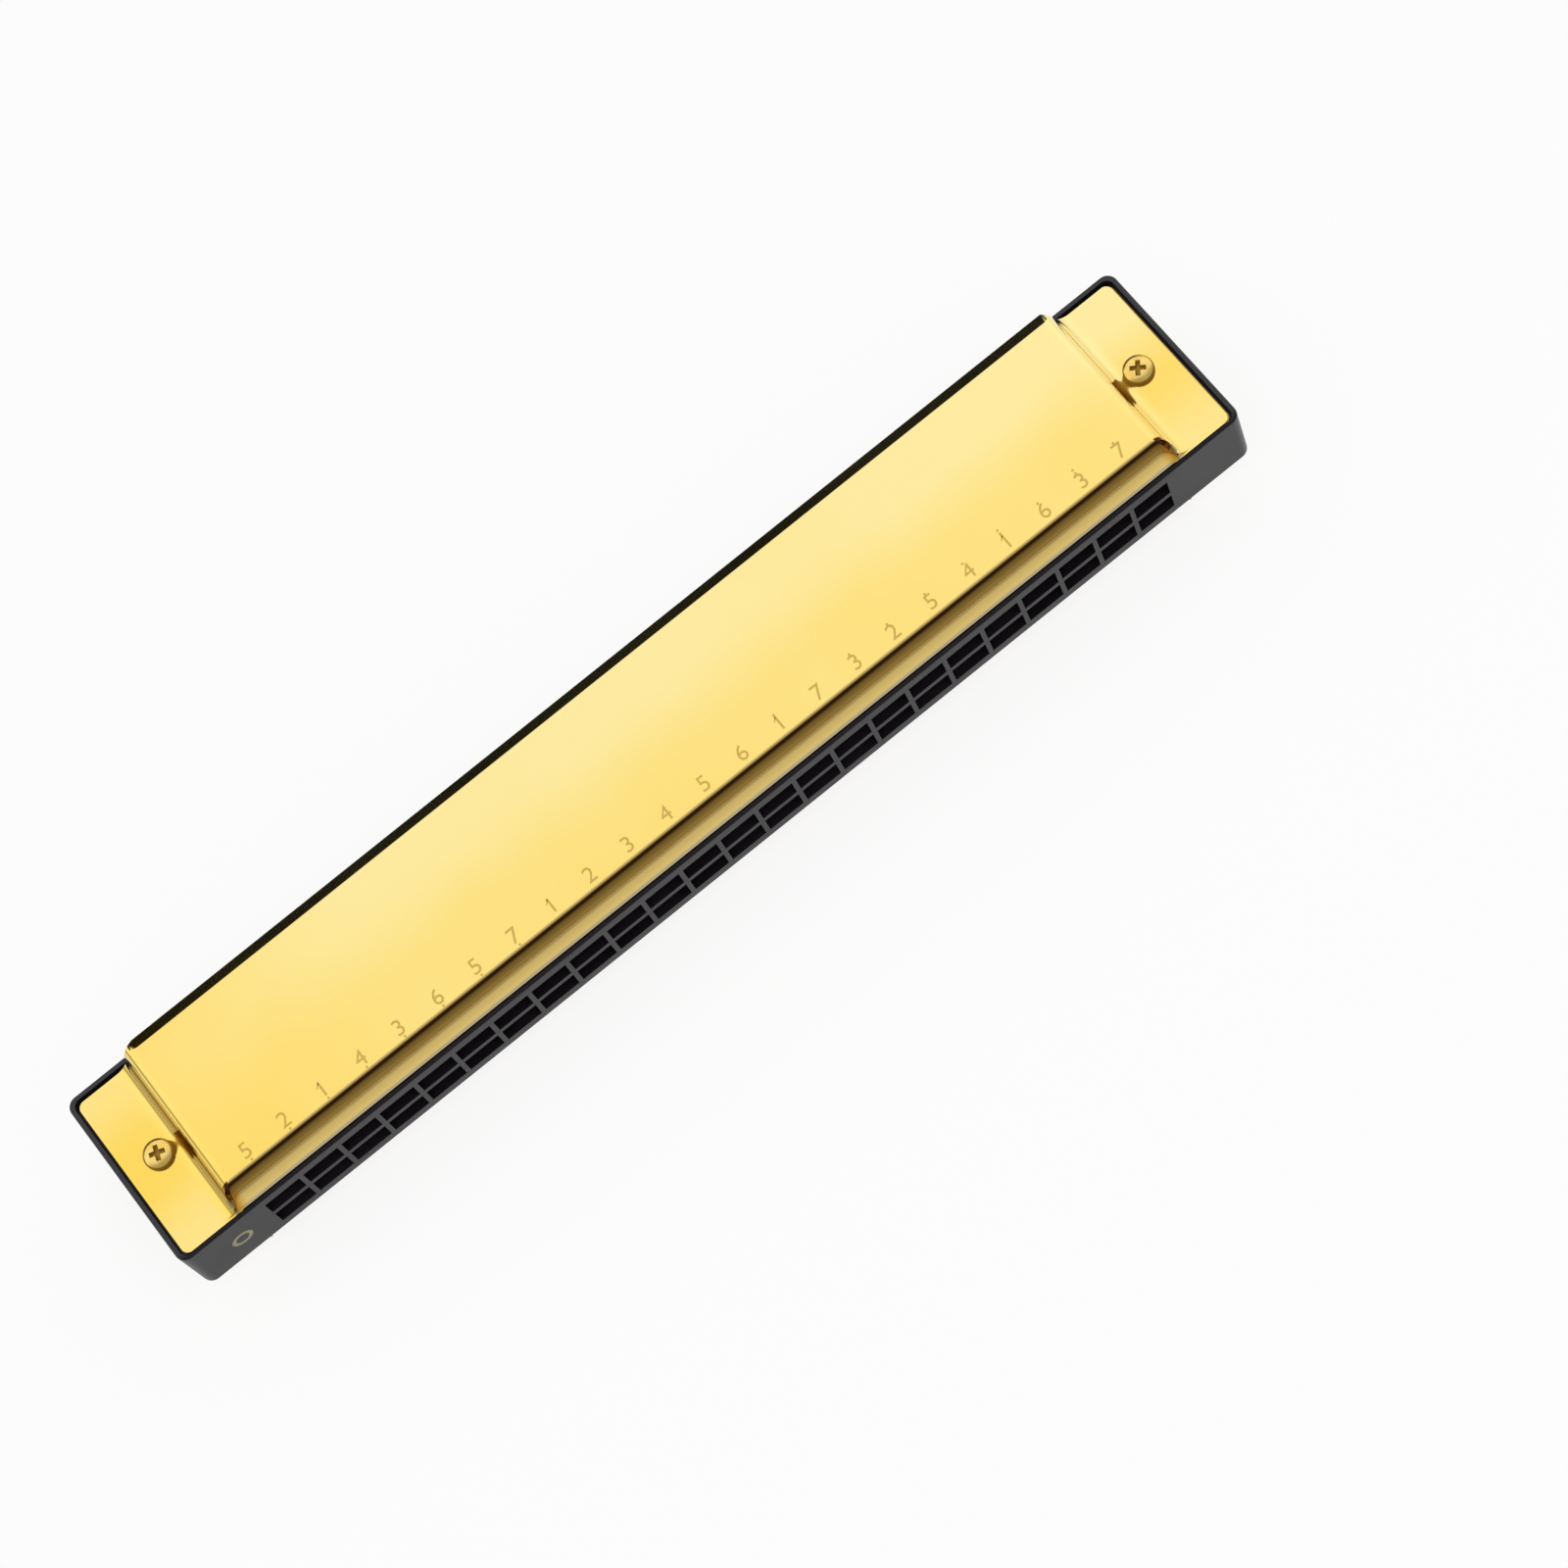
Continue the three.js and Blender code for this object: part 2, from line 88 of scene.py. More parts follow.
recess_depth = 1.5 * mm
recess_corner = 1.1 * mm
comb_corner = 1.5 * mm
comb_edge = 0.35 * mm
moulded_edge = 0.08 * mm
mark_room = 0.02 * mm
hole_height = comb_high.z - comb_mid_z - recess_depth - hole_roof - web_thickness / 2
reed_pad_room = 3.1 * mm
overrun = 1 * mm
corner_facets = 12
recess_facets = 10
comb_edge_facets = 5
fine_edge_facets = 2
crease_angle = math.radians(35)
largest_face_weight = 100


def select_only(*pieces):
    """Leaves edit mode and selects only these pieces, so that an operator acts on nothing else."""
    if bpy.context.object and bpy.context.object.mode != "OBJECT":
        bpy.ops.object.mode_set(mode="OBJECT")
    bpy.ops.object.select_all(action="DESELECT")
    for piece in pieces:
        piece.select_set(True)
    if pieces:
        bpy.context.view_layer.objects.active = pieces[0]


def set_in_mesh():
    """Moves the new piece's place, turn and scale into its mesh, and returns the piece."""
    bpy.ops.object.transform_apply(location=True, rotation=True, scale=True)
    return bpy.context.object


def block(name, low, high):
    """Adds a cube between two corners, with its place in its mesh."""
    select_only()
    middle = (Vector(low) + Vector(high)) / 2
    bpy.ops.mesh.primitive_cube_add(size=1, location=middle, scale=Vector(high) - Vector(low))
    piece = set_in_mesh()
    piece.name = name
    return piece


def round_edges(piece, test, radius, facets):
    """Bevels the edges whose two ends pass a test."""
    bpy.ops.object.mode_set(mode="EDIT")
    bpy.ops.mesh.select_mode(type="EDGE")
    bpy.ops.mesh.select_all(action="DESELECT")
    mesh = bmesh.from_edit_mesh(piece.data)
    for edge in mesh.edges:
        edge.select_set(test(edge.verts[0].co, edge.verts[1].co))
    bmesh.update_edit_mesh(piece.data)
    bpy.ops.mesh.bevel(offset=radius, segments=facets, affect="EDGES")
    bpy.ops.object.mode_set(mode="OBJECT")


def upright(a, b):
    """Whether an edge between two points stands upright."""
    return abs(a.z - b.z) > overrun


def level(a, b):
    """Whether an edge between two points lies level."""
    return abs(a.z - b.z) < moulded_edge


def joined(pieces, name):
    """Joins several pieces into the first one."""
    select_only(*pieces)
    bpy.ops.object.join()
    pieces[0].name = name
    return pieces[0]


def apply_modifier(piece, kind, **settings):
    """Adds a modifier with its settings and applies it."""
    select_only(piece)
    modifier = piece.modifiers.new(kind.title(), kind)
    for key, value in settings.items():
        setattr(modifier, key, value)
    bpy.ops.object.modifier_apply(modifier=modifier.name)


def cut_away(piece, tool):
    """Cuts a tool's shape out of a piece and deletes the tool."""
    apply_modifier(piece, "BOOLEAN", operation="DIFFERENCE", solver="EXACT", object=tool)
    bpy.data.objects.remove(tool)


def round_creases(piece, radius):
    """Rounds every crease of a piece finely."""
    apply_modifier(piece, "BEVEL", width=radius, segments=fine_edge_facets,
                   limit_method="ANGLE", angle_limit=crease_angle)


def smooth_below(piece, angle):
    """Shades a piece smooth, but for the edges that bend by more than an angle."""
    select_only(piece)
    bpy.ops.object.shade_smooth_by_angle(angle=angle)


def column_x(column):
    """Middle of a column of holes, numbered from 1 at the low end."""
    return comb_low.x + end_block + (column - 0.5) * column_pitch


def chamber_rear(column):
    """Rear end of a column's chambers, past the root of its reed."""
    reed_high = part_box(f"upper_reed_{column:02d}")[1].y
    return reed_high + reed_pad_room


# The mouth side stands back a little, to leave the foil mark room within the comb's size.
comb = block("comb_body", comb_low + Vector((0, mark_room, 0)), comb_high)
round_edges(comb, upright, comb_corner, corner_facets)
round_edges(comb, level, comb_edge, comb_edge_facets)

recess_tools = []
for low_z, high_z in ((comb_high.z - recess_depth, comb_high.z + overrun),
                      (comb_low.z - overrun, comb_low.z + recess_depth)):
    recess = block("recess_tool",
                   (comb_low.x + rim_width, comb_low.y + front_rim_width, low_z),
                   (comb_high.x - rim_width, comb_high.y - rim_width, high_z))
    round_edges(recess, upright, recess_corner, recess_facets)
    recess_tools.append(recess)
cut_away(comb, joined(recess_tools, "recess_tools"))

hole_tools = []
chamber_tools = []
for column in range(1, column_count + 1):
    left = column_x(column) - hole_width / 2
    right = column_x(column) + hole_width / 2
    for side in (1, -1):
        near = comb_mid_z + side * web_thickness / 2
        far = near + side * hole_height
        open_end = comb_mid_z + side * (comb_high.z - comb_mid_z)
        hole_tools.append(block(
            "hole_tool", (left, comb_low.y - overrun, min(near, far)),
            (right, comb_low.y + mouth_band + overrun, max(near, far))))
        chamber_tools.append(block(
            "chamber_tool", (left, comb_low.y + mouth_band, min(near, open_end)),
            (right, chamber_rear(column), max(near, open_end))))
cut_away(comb, joined(hole_tools, "hole_tools"))
cut_away(comb, joined(chamber_tools, "chamber_tools"))
round_creases(comb, moulded_edge)
smooth_below(comb, crease_angle)
apply_modifier(comb, "WEIGHTED_NORMAL", weight=largest_face_weight, keep_sharp=True)


def linear(code):
    """Turns an sRGB hex colour to the linear values that the shader takes."""
    parts = [int(code[i:i + 2], 16) / 255 for i in (1, 3, 5)]
    return [p / 12.92 if p <= 0.04045 else ((p + 0.055) / 1.055) ** 2.4 for p in parts] + [1.0]


def new_material(name):
    """A material with its shader and its output, and the shader node."""
    material = bpy.data.materials.new(name)
    material.use_nodes = True
    return material, material.node_tree.nodes["Principled BSDF"]


def add_node(material, kind, links=None, values=None, stops=(), **settings):
    """Adds a node with its settings, a ramp's stops, its sockets' values and the links into it."""
    tree = material.node_tree
    node = tree.nodes.new(kind)
    for key, value in settings.items():
        setattr(node, key, value)
    for i, (position, colour) in enumerate(stops):
        ramp = node.color_ramp.elements
        stop = ramp[i] if i < len(ramp) else ramp.new(position)
        stop.position = position
        stop.color = colour
    for key, value in (values or {}).items():
        node.inputs[key].default_value = value
    for key, source in (links or {}).items():
        tree.links.new(source, node.inputs[key])
    return node


def link(material, source, target):
    """Links one node's output to another's input."""
    material.node_tree.links.new(source, target)


def dress(piece, material):
    """Gives a piece one material, in place of any that it has."""
    piece.data.materials.clear()
    piece.data.materials.append(material)


# Moulded ABS keeps a fine grain from the tool, which breaks its reflection up a little. Handling
# polishes it unevenly, and the mouth side shines less. The grain's real size is about 0.15 mm,
# drawn at 0.3 mm so that it shows.
abs_plastic, abs_shader = new_material("moulded_black_abs")
grain_size = 0.3 * mm
grain_height = 0.02 * mm
handling_size = 14 * mm
abs_shader.inputs["IOR"].default_value = 1.5
place = add_node(abs_plastic, "ShaderNodeTexCoord")
spot = add_node(abs_plastic, "ShaderNodeSeparateXYZ", {"Vector": place.outputs["Object"]})
mouth_wear = add_node(abs_plastic, "ShaderNodeMapRange", {"Value": spot.outputs["Y"]},
                      {"From Min": comb_low.y + front_rim_width,
                       "From Max": comb_low.y + comb_corner, "To Min": 0.2, "To Max": 0.55})
link(abs_plastic, mouth_wear.outputs["Result"], abs_shader.inputs["Specular IOR Level"])
grain = add_node(abs_plastic, "ShaderNodeTexNoise", {"Vector": place.outputs["Object"]},
                 {"Scale": 1 / grain_size, "Detail": 3.0, "Roughness": 0.6})
handling = add_node(abs_plastic, "ShaderNodeTexNoise", {"Vector": place.outputs["Object"]},
                    {"Scale": 1 / handling_size, "Detail": 4.0, "Roughness": 0.55})
sheen = add_node(abs_plastic, "ShaderNodeMapRange", {"Value": handling.outputs["Fac"]},
                 {"From Min": 0.3, "From Max": 0.7, "To Min": 0.3, "To Max": 0.4})
link(abs_plastic, sheen.outputs["Result"], abs_shader.inputs["Roughness"])
tint = add_node(abs_plastic, "ShaderNodeValToRGB", {"Fac": handling.outputs["Fac"]},
                stops=((0.3, linear("#181419")), (0.75, linear("#211c22"))))
link(abs_plastic, tint.outputs["Color"], abs_shader.inputs["Base Color"])
grain_bump = add_node(abs_plastic, "ShaderNodeBump", {"Height": grain.outputs["Fac"]},
                      {"Strength": 0.12, "Distance": grain_height})
link(abs_plastic, grain_bump.outputs["Normal"], abs_shader.inputs["Normal"])
dress(comb, abs_plastic)
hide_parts("comb")
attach(comb, "harmonica")

# The reed plates are rolled brass sheet, punched with one slot for each reed, and the reeds' roots
# are riveted to them. The sheet has tarnished in patches and keeps its rolling lines along its
# length. These are drawn 0.12 mm wide, coarser than real ones, so that they show.
plate_brass, plate_shader = new_material("rolled_brass_sheet")
rolling_line = 0.12 * mm
rolling_line_height = 0.01 * mm
rolling_stretch = 0.02
tarnish_size = 9 * mm
plate_shader.inputs["Metallic"].default_value = 1.0
place = add_node(plate_brass, "ShaderNodeTexCoord")
stretch = add_node(plate_brass, "ShaderNodeMapping", {"Vector": place.outputs["Object"]},
                   {"Scale": (rolling_stretch, 1.0, 1.0)})
lines = add_node(plate_brass, "ShaderNodeTexNoise", {"Vector": stretch.outputs["Vector"]},
                 {"Scale": 1 / rolling_line, "Detail": 2.0})
patches = add_node(plate_brass, "ShaderNodeTexNoise", {"Vector": place.outputs["Object"]},
                   {"Scale": 1 / tarnish_size, "Detail": 5.0, "Roughness": 0.6})
tone = add_node(plate_brass, "ShaderNodeValToRGB", {"Fac": patches.outputs["Fac"]},
                stops=((0.35, linear("#b08a43")), (0.7, linear("#d9b869"))))
link(plate_brass, tone.outputs["Color"], plate_shader.inputs["Base Color"])
dullness = add_node(plate_brass, "ShaderNodeMapRange", {"Value": lines.outputs["Fac"]},
                    {"To Min": 0.24, "To Max": 0.44})
link(plate_brass, dullness.outputs["Result"], plate_shader.inputs["Roughness"])
line_bump = add_node(plate_brass, "ShaderNodeBump", {"Height": lines.outputs["Fac"]},
                     {"Strength": 0.2, "Distance": rolling_line_height})
link(plate_brass, line_bump.outputs["Normal"], plate_shader.inputs["Normal"])
for side in ("upper", "lower"):
    dress(bpy.data.objects[f"{side}_reed_plate"], plate_brass)

# The reeds are hard spring brass, ground thin along their length behind the root, which leaves fine
# cross scratches, drawn 0.08 mm wide so that they show, and a brighter colour than the plate.
reed_brass, reed_shader = new_material("ground_spring_brass")
grinding_line = 0.08 * mm
grinding_stretch = 0.04
reed_shader.inputs["Metallic"].default_value = 1.0
place = add_node(reed_brass, "ShaderNodeTexCoord")
stretch = add_node(reed_brass, "ShaderNodeMapping", {"Vector": place.outputs["Object"]},
                   {"Scale": (grinding_stretch, 1.0, 1.0)})
scratches = add_node(reed_brass, "ShaderNodeTexNoise", {"Vector": stretch.outputs["Vector"]},
                     {"Scale": 1 / grinding_line, "Detail": 3.0})
reed_tone = add_node(reed_brass, "ShaderNodeValToRGB", {"Fac": scratches.outputs["Fac"]},
                     stops=((0.3, linear("#c9a354")), (0.7, linear("#ecd28c"))))
link(reed_brass, reed_tone.outputs["Color"], reed_shader.inputs["Base Color"])
reed_gloss = add_node(reed_brass, "ShaderNodeMapRange", {"Value": scratches.outputs["Fac"]},
                      {"To Min": 0.18, "To Max": 0.34})
link(reed_brass, reed_gloss.outputs["Result"], reed_shader.inputs["Roughness"])
for side in ("upper", "lower"):
    for column in range(1, column_count + 1):
        dress(bpy.data.objects[f"{side}_reed_{column:02d}"], reed_brass)

# Each cover is pressed from one sheet: flat tabs at the ends, a rounded step up to the raised top,
# a hollowed front band with rounded ends, and a rear edge bent down over the sound opening, which
# stays free. The lower cover is the same pressing turned over.
cover_low, cover_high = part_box("upper_cover")
cover_half = cover_high.x
rear_gap = 0.6 * mm
tab_rear = comb_high.y - rim_width - rear_gap
tab_top = comb_high.z
tab_length = 6.3 * mm
tab_corner = 1 * mm
tab_corner_facets = 8
high_end_setback = 0.2 * mm
cover_depth = tab_rear - cover_low.y
sheet_thickness = 0.4 * mm
print_room = 0.03 * mm
ridge_height = 0.015 * mm
ridge_setback = 0.6 * mm
ridge_half_width = 0.55 * mm
ridge_fade_share = 0.1
ridge_facets = 10
cover_rise = cover_high.z - tab_top - print_room - ridge_height
step_foot = cover_half - tab_length
step_angle = math.radians(76)
foot_radius = 2.2 * mm
shoulder_radius = 1.7 * mm
step_bend_facets = 26
step_wall_facets = 5
band_lip_angle = math.radians(9)
band_lip_radius = 67.6 * mm
band_lip_facets = 8
band_bend_angle = math.radians(10.5)
band_bend_radius = 0.3 * mm
band_bend_facets = 14
band_wall_angle = math.radians(90)
band_wall_shares = (0.1, 0.25, 0.5, 0.75, 0.9, 0.985, 1)
band_end_run = 0.3 * mm
band_end_length = 1.6 * mm
band_end_setback = 2.2 * mm
band_end_facets = 18
band_end_x = step_foot - band_end_setback
fold_radius = 0.45 * mm
fold_angle = math.radians(70)
fold_facets = 7
fold_end_length = 0.8 * mm
top_edge_radius = 0.9 * mm
top_edge_angle = math.radians(55)
top_edge_facets = 12
top_length_facets = 8
top_depth_facets = 6
lip_angle = math.radians(27)
lip_bend_radius = 0.5 * mm
lip_bend_facets = 6
lip_run = 1.8 * mm
lip_overhang = cover_high.y - tab_rear
lip_end_length = 0.5 * mm
lip_end_overlap = 1.1 * mm
lip_end_facets = 6
lip_taper_length = 2 * mm
lip_taper_overlap = 1.5 * mm
lip_taper_facets = 8
support_gap = 0.15 * mm
corner_sharpness = 7
quarter_turn = math.pi / 2

wall_rise = cover_rise - (foot_radius + shoulder_radius) * (1 - math.cos(step_angle))
wall_foot_x = step_foot - foot_radius * math.sin(step_angle)
wall_top_x = wall_foot_x - wall_rise / math.tan(step_angle)
shoulder_x = wall_top_x - shoulder_radius * math.sin(step_angle)
ridge_x = shoulder_x - ridge_setback


def spread(start, end, count):
    """Evenly spaced values from start to end, in a number of steps."""
    return [start + (end - start) * i / count for i in range(count + 1)]


def smooth_share(value):
    """A value held between 0 and 1, with a soft start and end."""
    share = min(max(value, 0.0), 1.0)
    return share * share * (3 - 2 * share)


def step_height(x):
    """Height of the end step at x: a hollow foot, a steep wall and a rounded shoulder."""
    away = abs(x)
    if away >= step_foot:
        return 0
    if away >= wall_foot_x:
        return foot_radius * (1 - math.cos(math.asin((step_foot - away) / foot_radius)))
    if away > wall_top_x:
        return cover_rise - shoulder_radius * (1 - math.cos(step_angle)) \
            - (away - wall_top_x) * math.tan(step_angle)
    tilt = math.asin(max(away - shoulder_x, 0) / shoulder_radius)
    return cover_rise - shoulder_radius * (1 - math.cos(tilt))


def band_section():
    """Distance behind the front edge and height of each row of the band, up to its top edge."""
    run = band_lip_radius * (math.sin(band_bend_angle) - math.sin(band_lip_angle))
    backs = [fold_radius * (math.sin(fold_angle) - math.sin(tilt))
             for tilt in spread(fold_angle, 0, fold_facets)]
    backs += spread(backs[-1], run, band_lip_facets)[1:]
    section = []
    for back in backs:
        tilt = math.asin(math.sin(band_lip_angle) + back / band_lip_radius)
        section.append((back, band_lip_radius * (math.cos(band_lip_angle) - math.cos(tilt))))
    back, height = section[-1]
    for tilt in spread(band_bend_angle, band_wall_angle, band_bend_facets)[1:]:
        section.append((back + band_bend_radius * (math.sin(tilt) - math.sin(band_bend_angle)),
                        height + band_bend_radius * (math.cos(band_bend_angle) - math.cos(tilt))))
    back, height = section[-1]
    wall_top = cover_rise - top_edge_radius * (1 - math.cos(top_edge_angle))
    section += [(back, height + share * (wall_top - height)) for share in band_wall_shares]
    return section


def band_share(x):
    """Share of its depth that the band has at x; a quarter of an ellipse draws in its ends."""
    share = (abs(x) - (band_end_x - band_end_length)) / band_end_length
    tip = band_end_run / band_rows[-1][0]
    return 1 if share <= 0 else tip + (1 - tip) * math.sqrt(max(1 - share * share, 0))


def lip_share(x):
    """How far the rear edge is bent down at x; at the low end the bend starts more gently."""
    overlap, length = (lip_taper_overlap, lip_taper_length) if x < 0 \
        else (lip_end_overlap, lip_end_length)
    return smooth_share((shoulder_x + overlap - abs(x)) / length)


def fold_drop(x, back):
    """How far the band's front edge is rolled down, which fades out towards the band's ends."""
    reach = fold_radius * math.sin(fold_angle) - back
    drop = fold_radius - math.sqrt(fold_radius ** 2 - max(reach, 0) ** 2)
    return drop * smooth_share((band_end_x - abs(x)) / fold_end_length)


def ridge(x, y):
    """The faint ridge along the head of the step, which fades out towards the mouth side."""
    near = 1 - smooth_share(abs(abs(x) - ridge_x) / ridge_half_width)
    return ridge_height * near * smooth_share((y - cover_low.y) / cover_depth)


# Rows and columns just inside each flat keep the soft shading of the bends off it.
band_rows = band_section()
edge_tilts = spread(top_edge_angle, 0, top_edge_facets)[1:]
lip_start = cover_depth + lip_overhang - lip_run
flat_start = band_rows[-1][0] + top_edge_radius * math.sin(top_edge_angle)
flat_rows = [flat_start + support_gap]
flat_rows += spread(flat_start, lip_start, top_depth_facets)[1:-1]
flat_rows += [lip_start - support_gap]
lip_tilts = spread(0, lip_angle, lip_bend_facets)
lip_drop = lip_bend_radius * (1 - math.cos(lip_angle)) \
    + (lip_run - lip_bend_radius * math.sin(lip_angle)) * math.tan(lip_angle)


def cover_section(x):
    """All rows of the sheet at x, from the front edge to the rear edge."""
    share = band_share(x)
    rows = [(back * share, height) for back, height in band_rows]
    wall_back = band_rows[-1][0] * share
    for tilt in edge_tilts:
        rows.append((wall_back + top_edge_radius * (math.sin(top_edge_angle) - math.sin(tilt)),
                     cover_rise - top_edge_radius * (1 - math.cos(tilt))))
    rows += [(back, cover_rise) for back in flat_rows]
    bent = [(lip_bend_radius * math.sin(tilt), lip_bend_radius * (1 - math.cos(tilt)))
            for tilt in lip_tilts]
    bent.append((lip_run, lip_drop))
    share = lip_share(x)
    for i, (back, drop) in enumerate(bent):
        flat_back = (cover_depth - lip_start) * i / (len(bent) - 1)
        rows.append((lip_start + flat_back + (back - flat_back) * share,
                     cover_rise - share * drop))
    return rows


def cover_point(x, back, height):
    """A point of the outer face; the step meets the band and the lip in a rounded corner."""
    past = abs(x) - (cover_half - tab_corner)
    inset = tab_corner - math.sqrt(max(tab_corner ** 2 - past ** 2, 0)) if past > 0 else 0
    y = cover_low.y + inset + back * (cover_depth - 2 * inset) / cover_depth
    drop, step_drop = (cover_rise - height) / cover_rise, 1 - step_height(x) / cover_rise
    drop = (drop ** corner_sharpness + step_drop ** corner_sharpness) ** (1 / corner_sharpness)
    raised = max(cover_rise * (1 - drop), 0)
    raised += ridge(x, y) * (1 - smooth_share(drop / ridge_fade_share))
    setback = high_end_setback * max(x - step_foot, 0) / (cover_half - step_foot)
    return x - setback, y, tab_top + raised - fold_drop(x, back)


closest_columns = 0.016 * mm
half_columns = spread(0, shoulder_x, top_length_facets)
half_columns += [step_foot + support_gap, shoulder_x - support_gap]
half_columns += [band_end_x - band_end_length * (1 - math.sin(turn))
                 for turn in spread(0, quarter_turn, band_end_facets)]
for overlap, length, count in ((lip_end_overlap, lip_end_length, lip_end_facets),
                               (lip_taper_overlap, lip_taper_length, lip_taper_facets)):
    half_columns += spread(shoulder_x + overlap, shoulder_x + overlap - length, count)
half_columns += spread(ridge_x - ridge_half_width, ridge_x + ridge_half_width, ridge_facets)
for tilt in spread(0, step_angle, step_bend_facets):
    half_columns += [step_foot - foot_radius * math.sin(tilt),
                     shoulder_x + shoulder_radius * math.sin(tilt)]
half_columns += spread(wall_foot_x, wall_top_x, step_wall_facets)[1:-1]
half_columns += [cover_half - tab_corner * (1 - math.sin(turn))
                 for turn in spread(0, quarter_turn, tab_corner_facets)]
half_columns.sort()
kept = [half_columns[0]]
for x in half_columns[1:]:
    if x - kept[-1] > closest_columns:
        kept.append(x)
columns = [-x for x in reversed(kept[1:])] + kept
sections = [cover_section(x) for x in columns]
column_steps = len(columns) - 1
row_steps = len(sections[0]) - 1

select_only()
bpy.ops.mesh.primitive_grid_add(x_subdivisions=column_steps, y_subdivisions=row_steps, size=2)
upper_cover = bpy.context.object
upper_cover.name = "upper_cover_pressing"
for vertex in upper_cover.data.vertices:
    column = round((vertex.co.x + 1) / 2 * column_steps)
    row = round((vertex.co.y + 1) / 2 * row_steps)
    vertex.co = cover_point(columns[column], *sections[column][row])
apply_modifier(upper_cover, "SOLIDIFY", thickness=sheet_thickness, offset=-1,
               use_even_offset=False, material_offset_rim=1)
sharpest_bend = math.radians(30)
smooth_below(upper_cover, sharpest_bend)

select_only(upper_cover)
bpy.ops.object.duplicate()
lower_cover = bpy.context.object
lower_cover.name = "lower_cover_pressing"
bpy.ops.object.mode_set(mode="EDIT")
bpy.ops.mesh.select_all(action="SELECT")
bpy.ops.transform.rotate(value=math.pi, orient_axis="Y", center_override=(0, 0, comb_mid_z))
bpy.ops.object.mode_set(mode="OBJECT")

# Gold-coloured plating over polished sheet: a mirror with a soft haze from wiping and hairlines
# along the cover, drawn 0.1 mm wide so that they show. The slow change of tone over the top and the
# tabs, part of it reflected light on the real covers, is set by place and stays in every view.
gold, gold_shader = new_material("polished_gold_plating")
hairline = 0.1 * mm
hairline_stretch = 0.015
haze_size = 22 * mm
plating_size = 25 * mm
pale_from_y, pale_to_y = -5 * mm, 8 * mm
low_end_from_x, low_end_to_x = -72 * mm, -35 * mm
tab_pale_from, tab_pale_to = 2 * mm, 12 * mm
tab_rear_from_y, tab_rear_to_y = -3 * mm, 7 * mm
middle_blend = 1 * mm
tab_blend_before, tab_blend_past = 1 * mm, 0.3 * mm
gold_shader.inputs["Metallic"].default_value = 1.0
place = add_node(gold, "ShaderNodeTexCoord")
spot = add_node(gold, "ShaderNodeSeparateXYZ", {"Vector": place.outputs["Object"]})
along = add_node(gold, "ShaderNodeMath", {0: spot.outputs["X"]}, operation="ABSOLUTE")
across = add_node(gold, "ShaderNodeMath", {0: spot.outputs["Y"]}, operation="ABSOLUTE")
top_paleness = add_node(gold, "ShaderNodeMapRange", {"Value": spot.outputs["Y"]},
                        {"From Min": pale_from_y, "From Max": pale_to_y,
                         "To Min": 0.44, "To Max": 1.03}, interpolation_type="SMOOTHSTEP")
low_end = add_node(gold, "ShaderNodeMapRange", {"Value": spot.outputs["X"]},
                   {"From Min": low_end_from_x, "From Max": low_end_to_x,
                    "To Min": 0.27, "To Max": 1.0}, interpolation_type="SMOOTHSTEP")
top_tone = add_node(gold, "ShaderNodeMath",
                    {0: top_paleness.outputs["Result"], 1: low_end.outputs["Result"]},
                    operation="MULTIPLY")
tab_ends = add_node(gold, "ShaderNodeMapRange", {"Value": across.outputs["Value"]},
                    {"From Min": tab_pale_from, "From Max": tab_pale_to,
                     "To Min": 0.02, "To Max": 0.56}, interpolation_type="SMOOTHSTEP")
tab_rear_tone = add_node(gold, "ShaderNodeMapRange", {"Value": spot.outputs["Y"]},
                         {"From Min": tab_rear_from_y, "From Max": tab_rear_to_y,
                          "To Max": 0.65}, interpolation_type="SMOOTHSTEP")
high_end = add_node(gold, "ShaderNodeMapRange", {"Value": spot.outputs["X"]},
                    {"From Min": -middle_blend, "From Max": middle_blend})
tab_tone = add_node(gold, "ShaderNodeMath",
                    {0: tab_rear_tone.outputs["Result"], 1: high_end.outputs["Result"],
                     2: tab_ends.outputs["Result"]}, operation="MULTIPLY_ADD")
on_tab = add_node(gold, "ShaderNodeMapRange", {"Value": along.outputs["Value"]},
                  {"From Min": step_foot - tab_blend_before,
                   "From Max": step_foot + tab_blend_past})
tone_share = add_node(gold, "ShaderNodeMix", {"Factor": on_tab.outputs["Result"],
                                              "A": top_tone.outputs["Value"],
                                              "B": tab_tone.outputs["Value"]})
plating = add_node(gold, "ShaderNodeTexNoise", {"Vector": place.outputs["Object"]},
                   {"Scale": 1 / plating_size, "Detail": 2.0})
clouding = add_node(gold, "ShaderNodeMapRange", {"Value": plating.outputs["Fac"]},
                    {"From Min": 0.3, "From Max": 0.7, "To Min": -0.12, "To Max": 0.12})
paleness = add_node(gold, "ShaderNodeMath",
                    {0: tone_share.outputs["Result"], 1: clouding.outputs["Result"]},
                    operation="ADD")
gold_tone = add_node(gold, "ShaderNodeValToRGB", {"Fac": paleness.outputs["Value"]},
                     stops=((0.0, linear("#ffda62")), (1.0, linear("#ffeca2"))))

# The tones of the step walls and the front band are painted reflection, matched to the real covers
# in the same way. The walls are painted pale, duller at the low end, and the band is painted darker
# towards its top edge, as a painted dark reflection.
band_depth = 2.6 * mm
band_blend = 0.2 * mm
band_end_blend = 0.4 * mm
end_tone_gap = 0.3 * mm
black = (0.0, 0.0, 0.0, 1.0)
white = (1.0, 1.0, 1.0, 1.0)

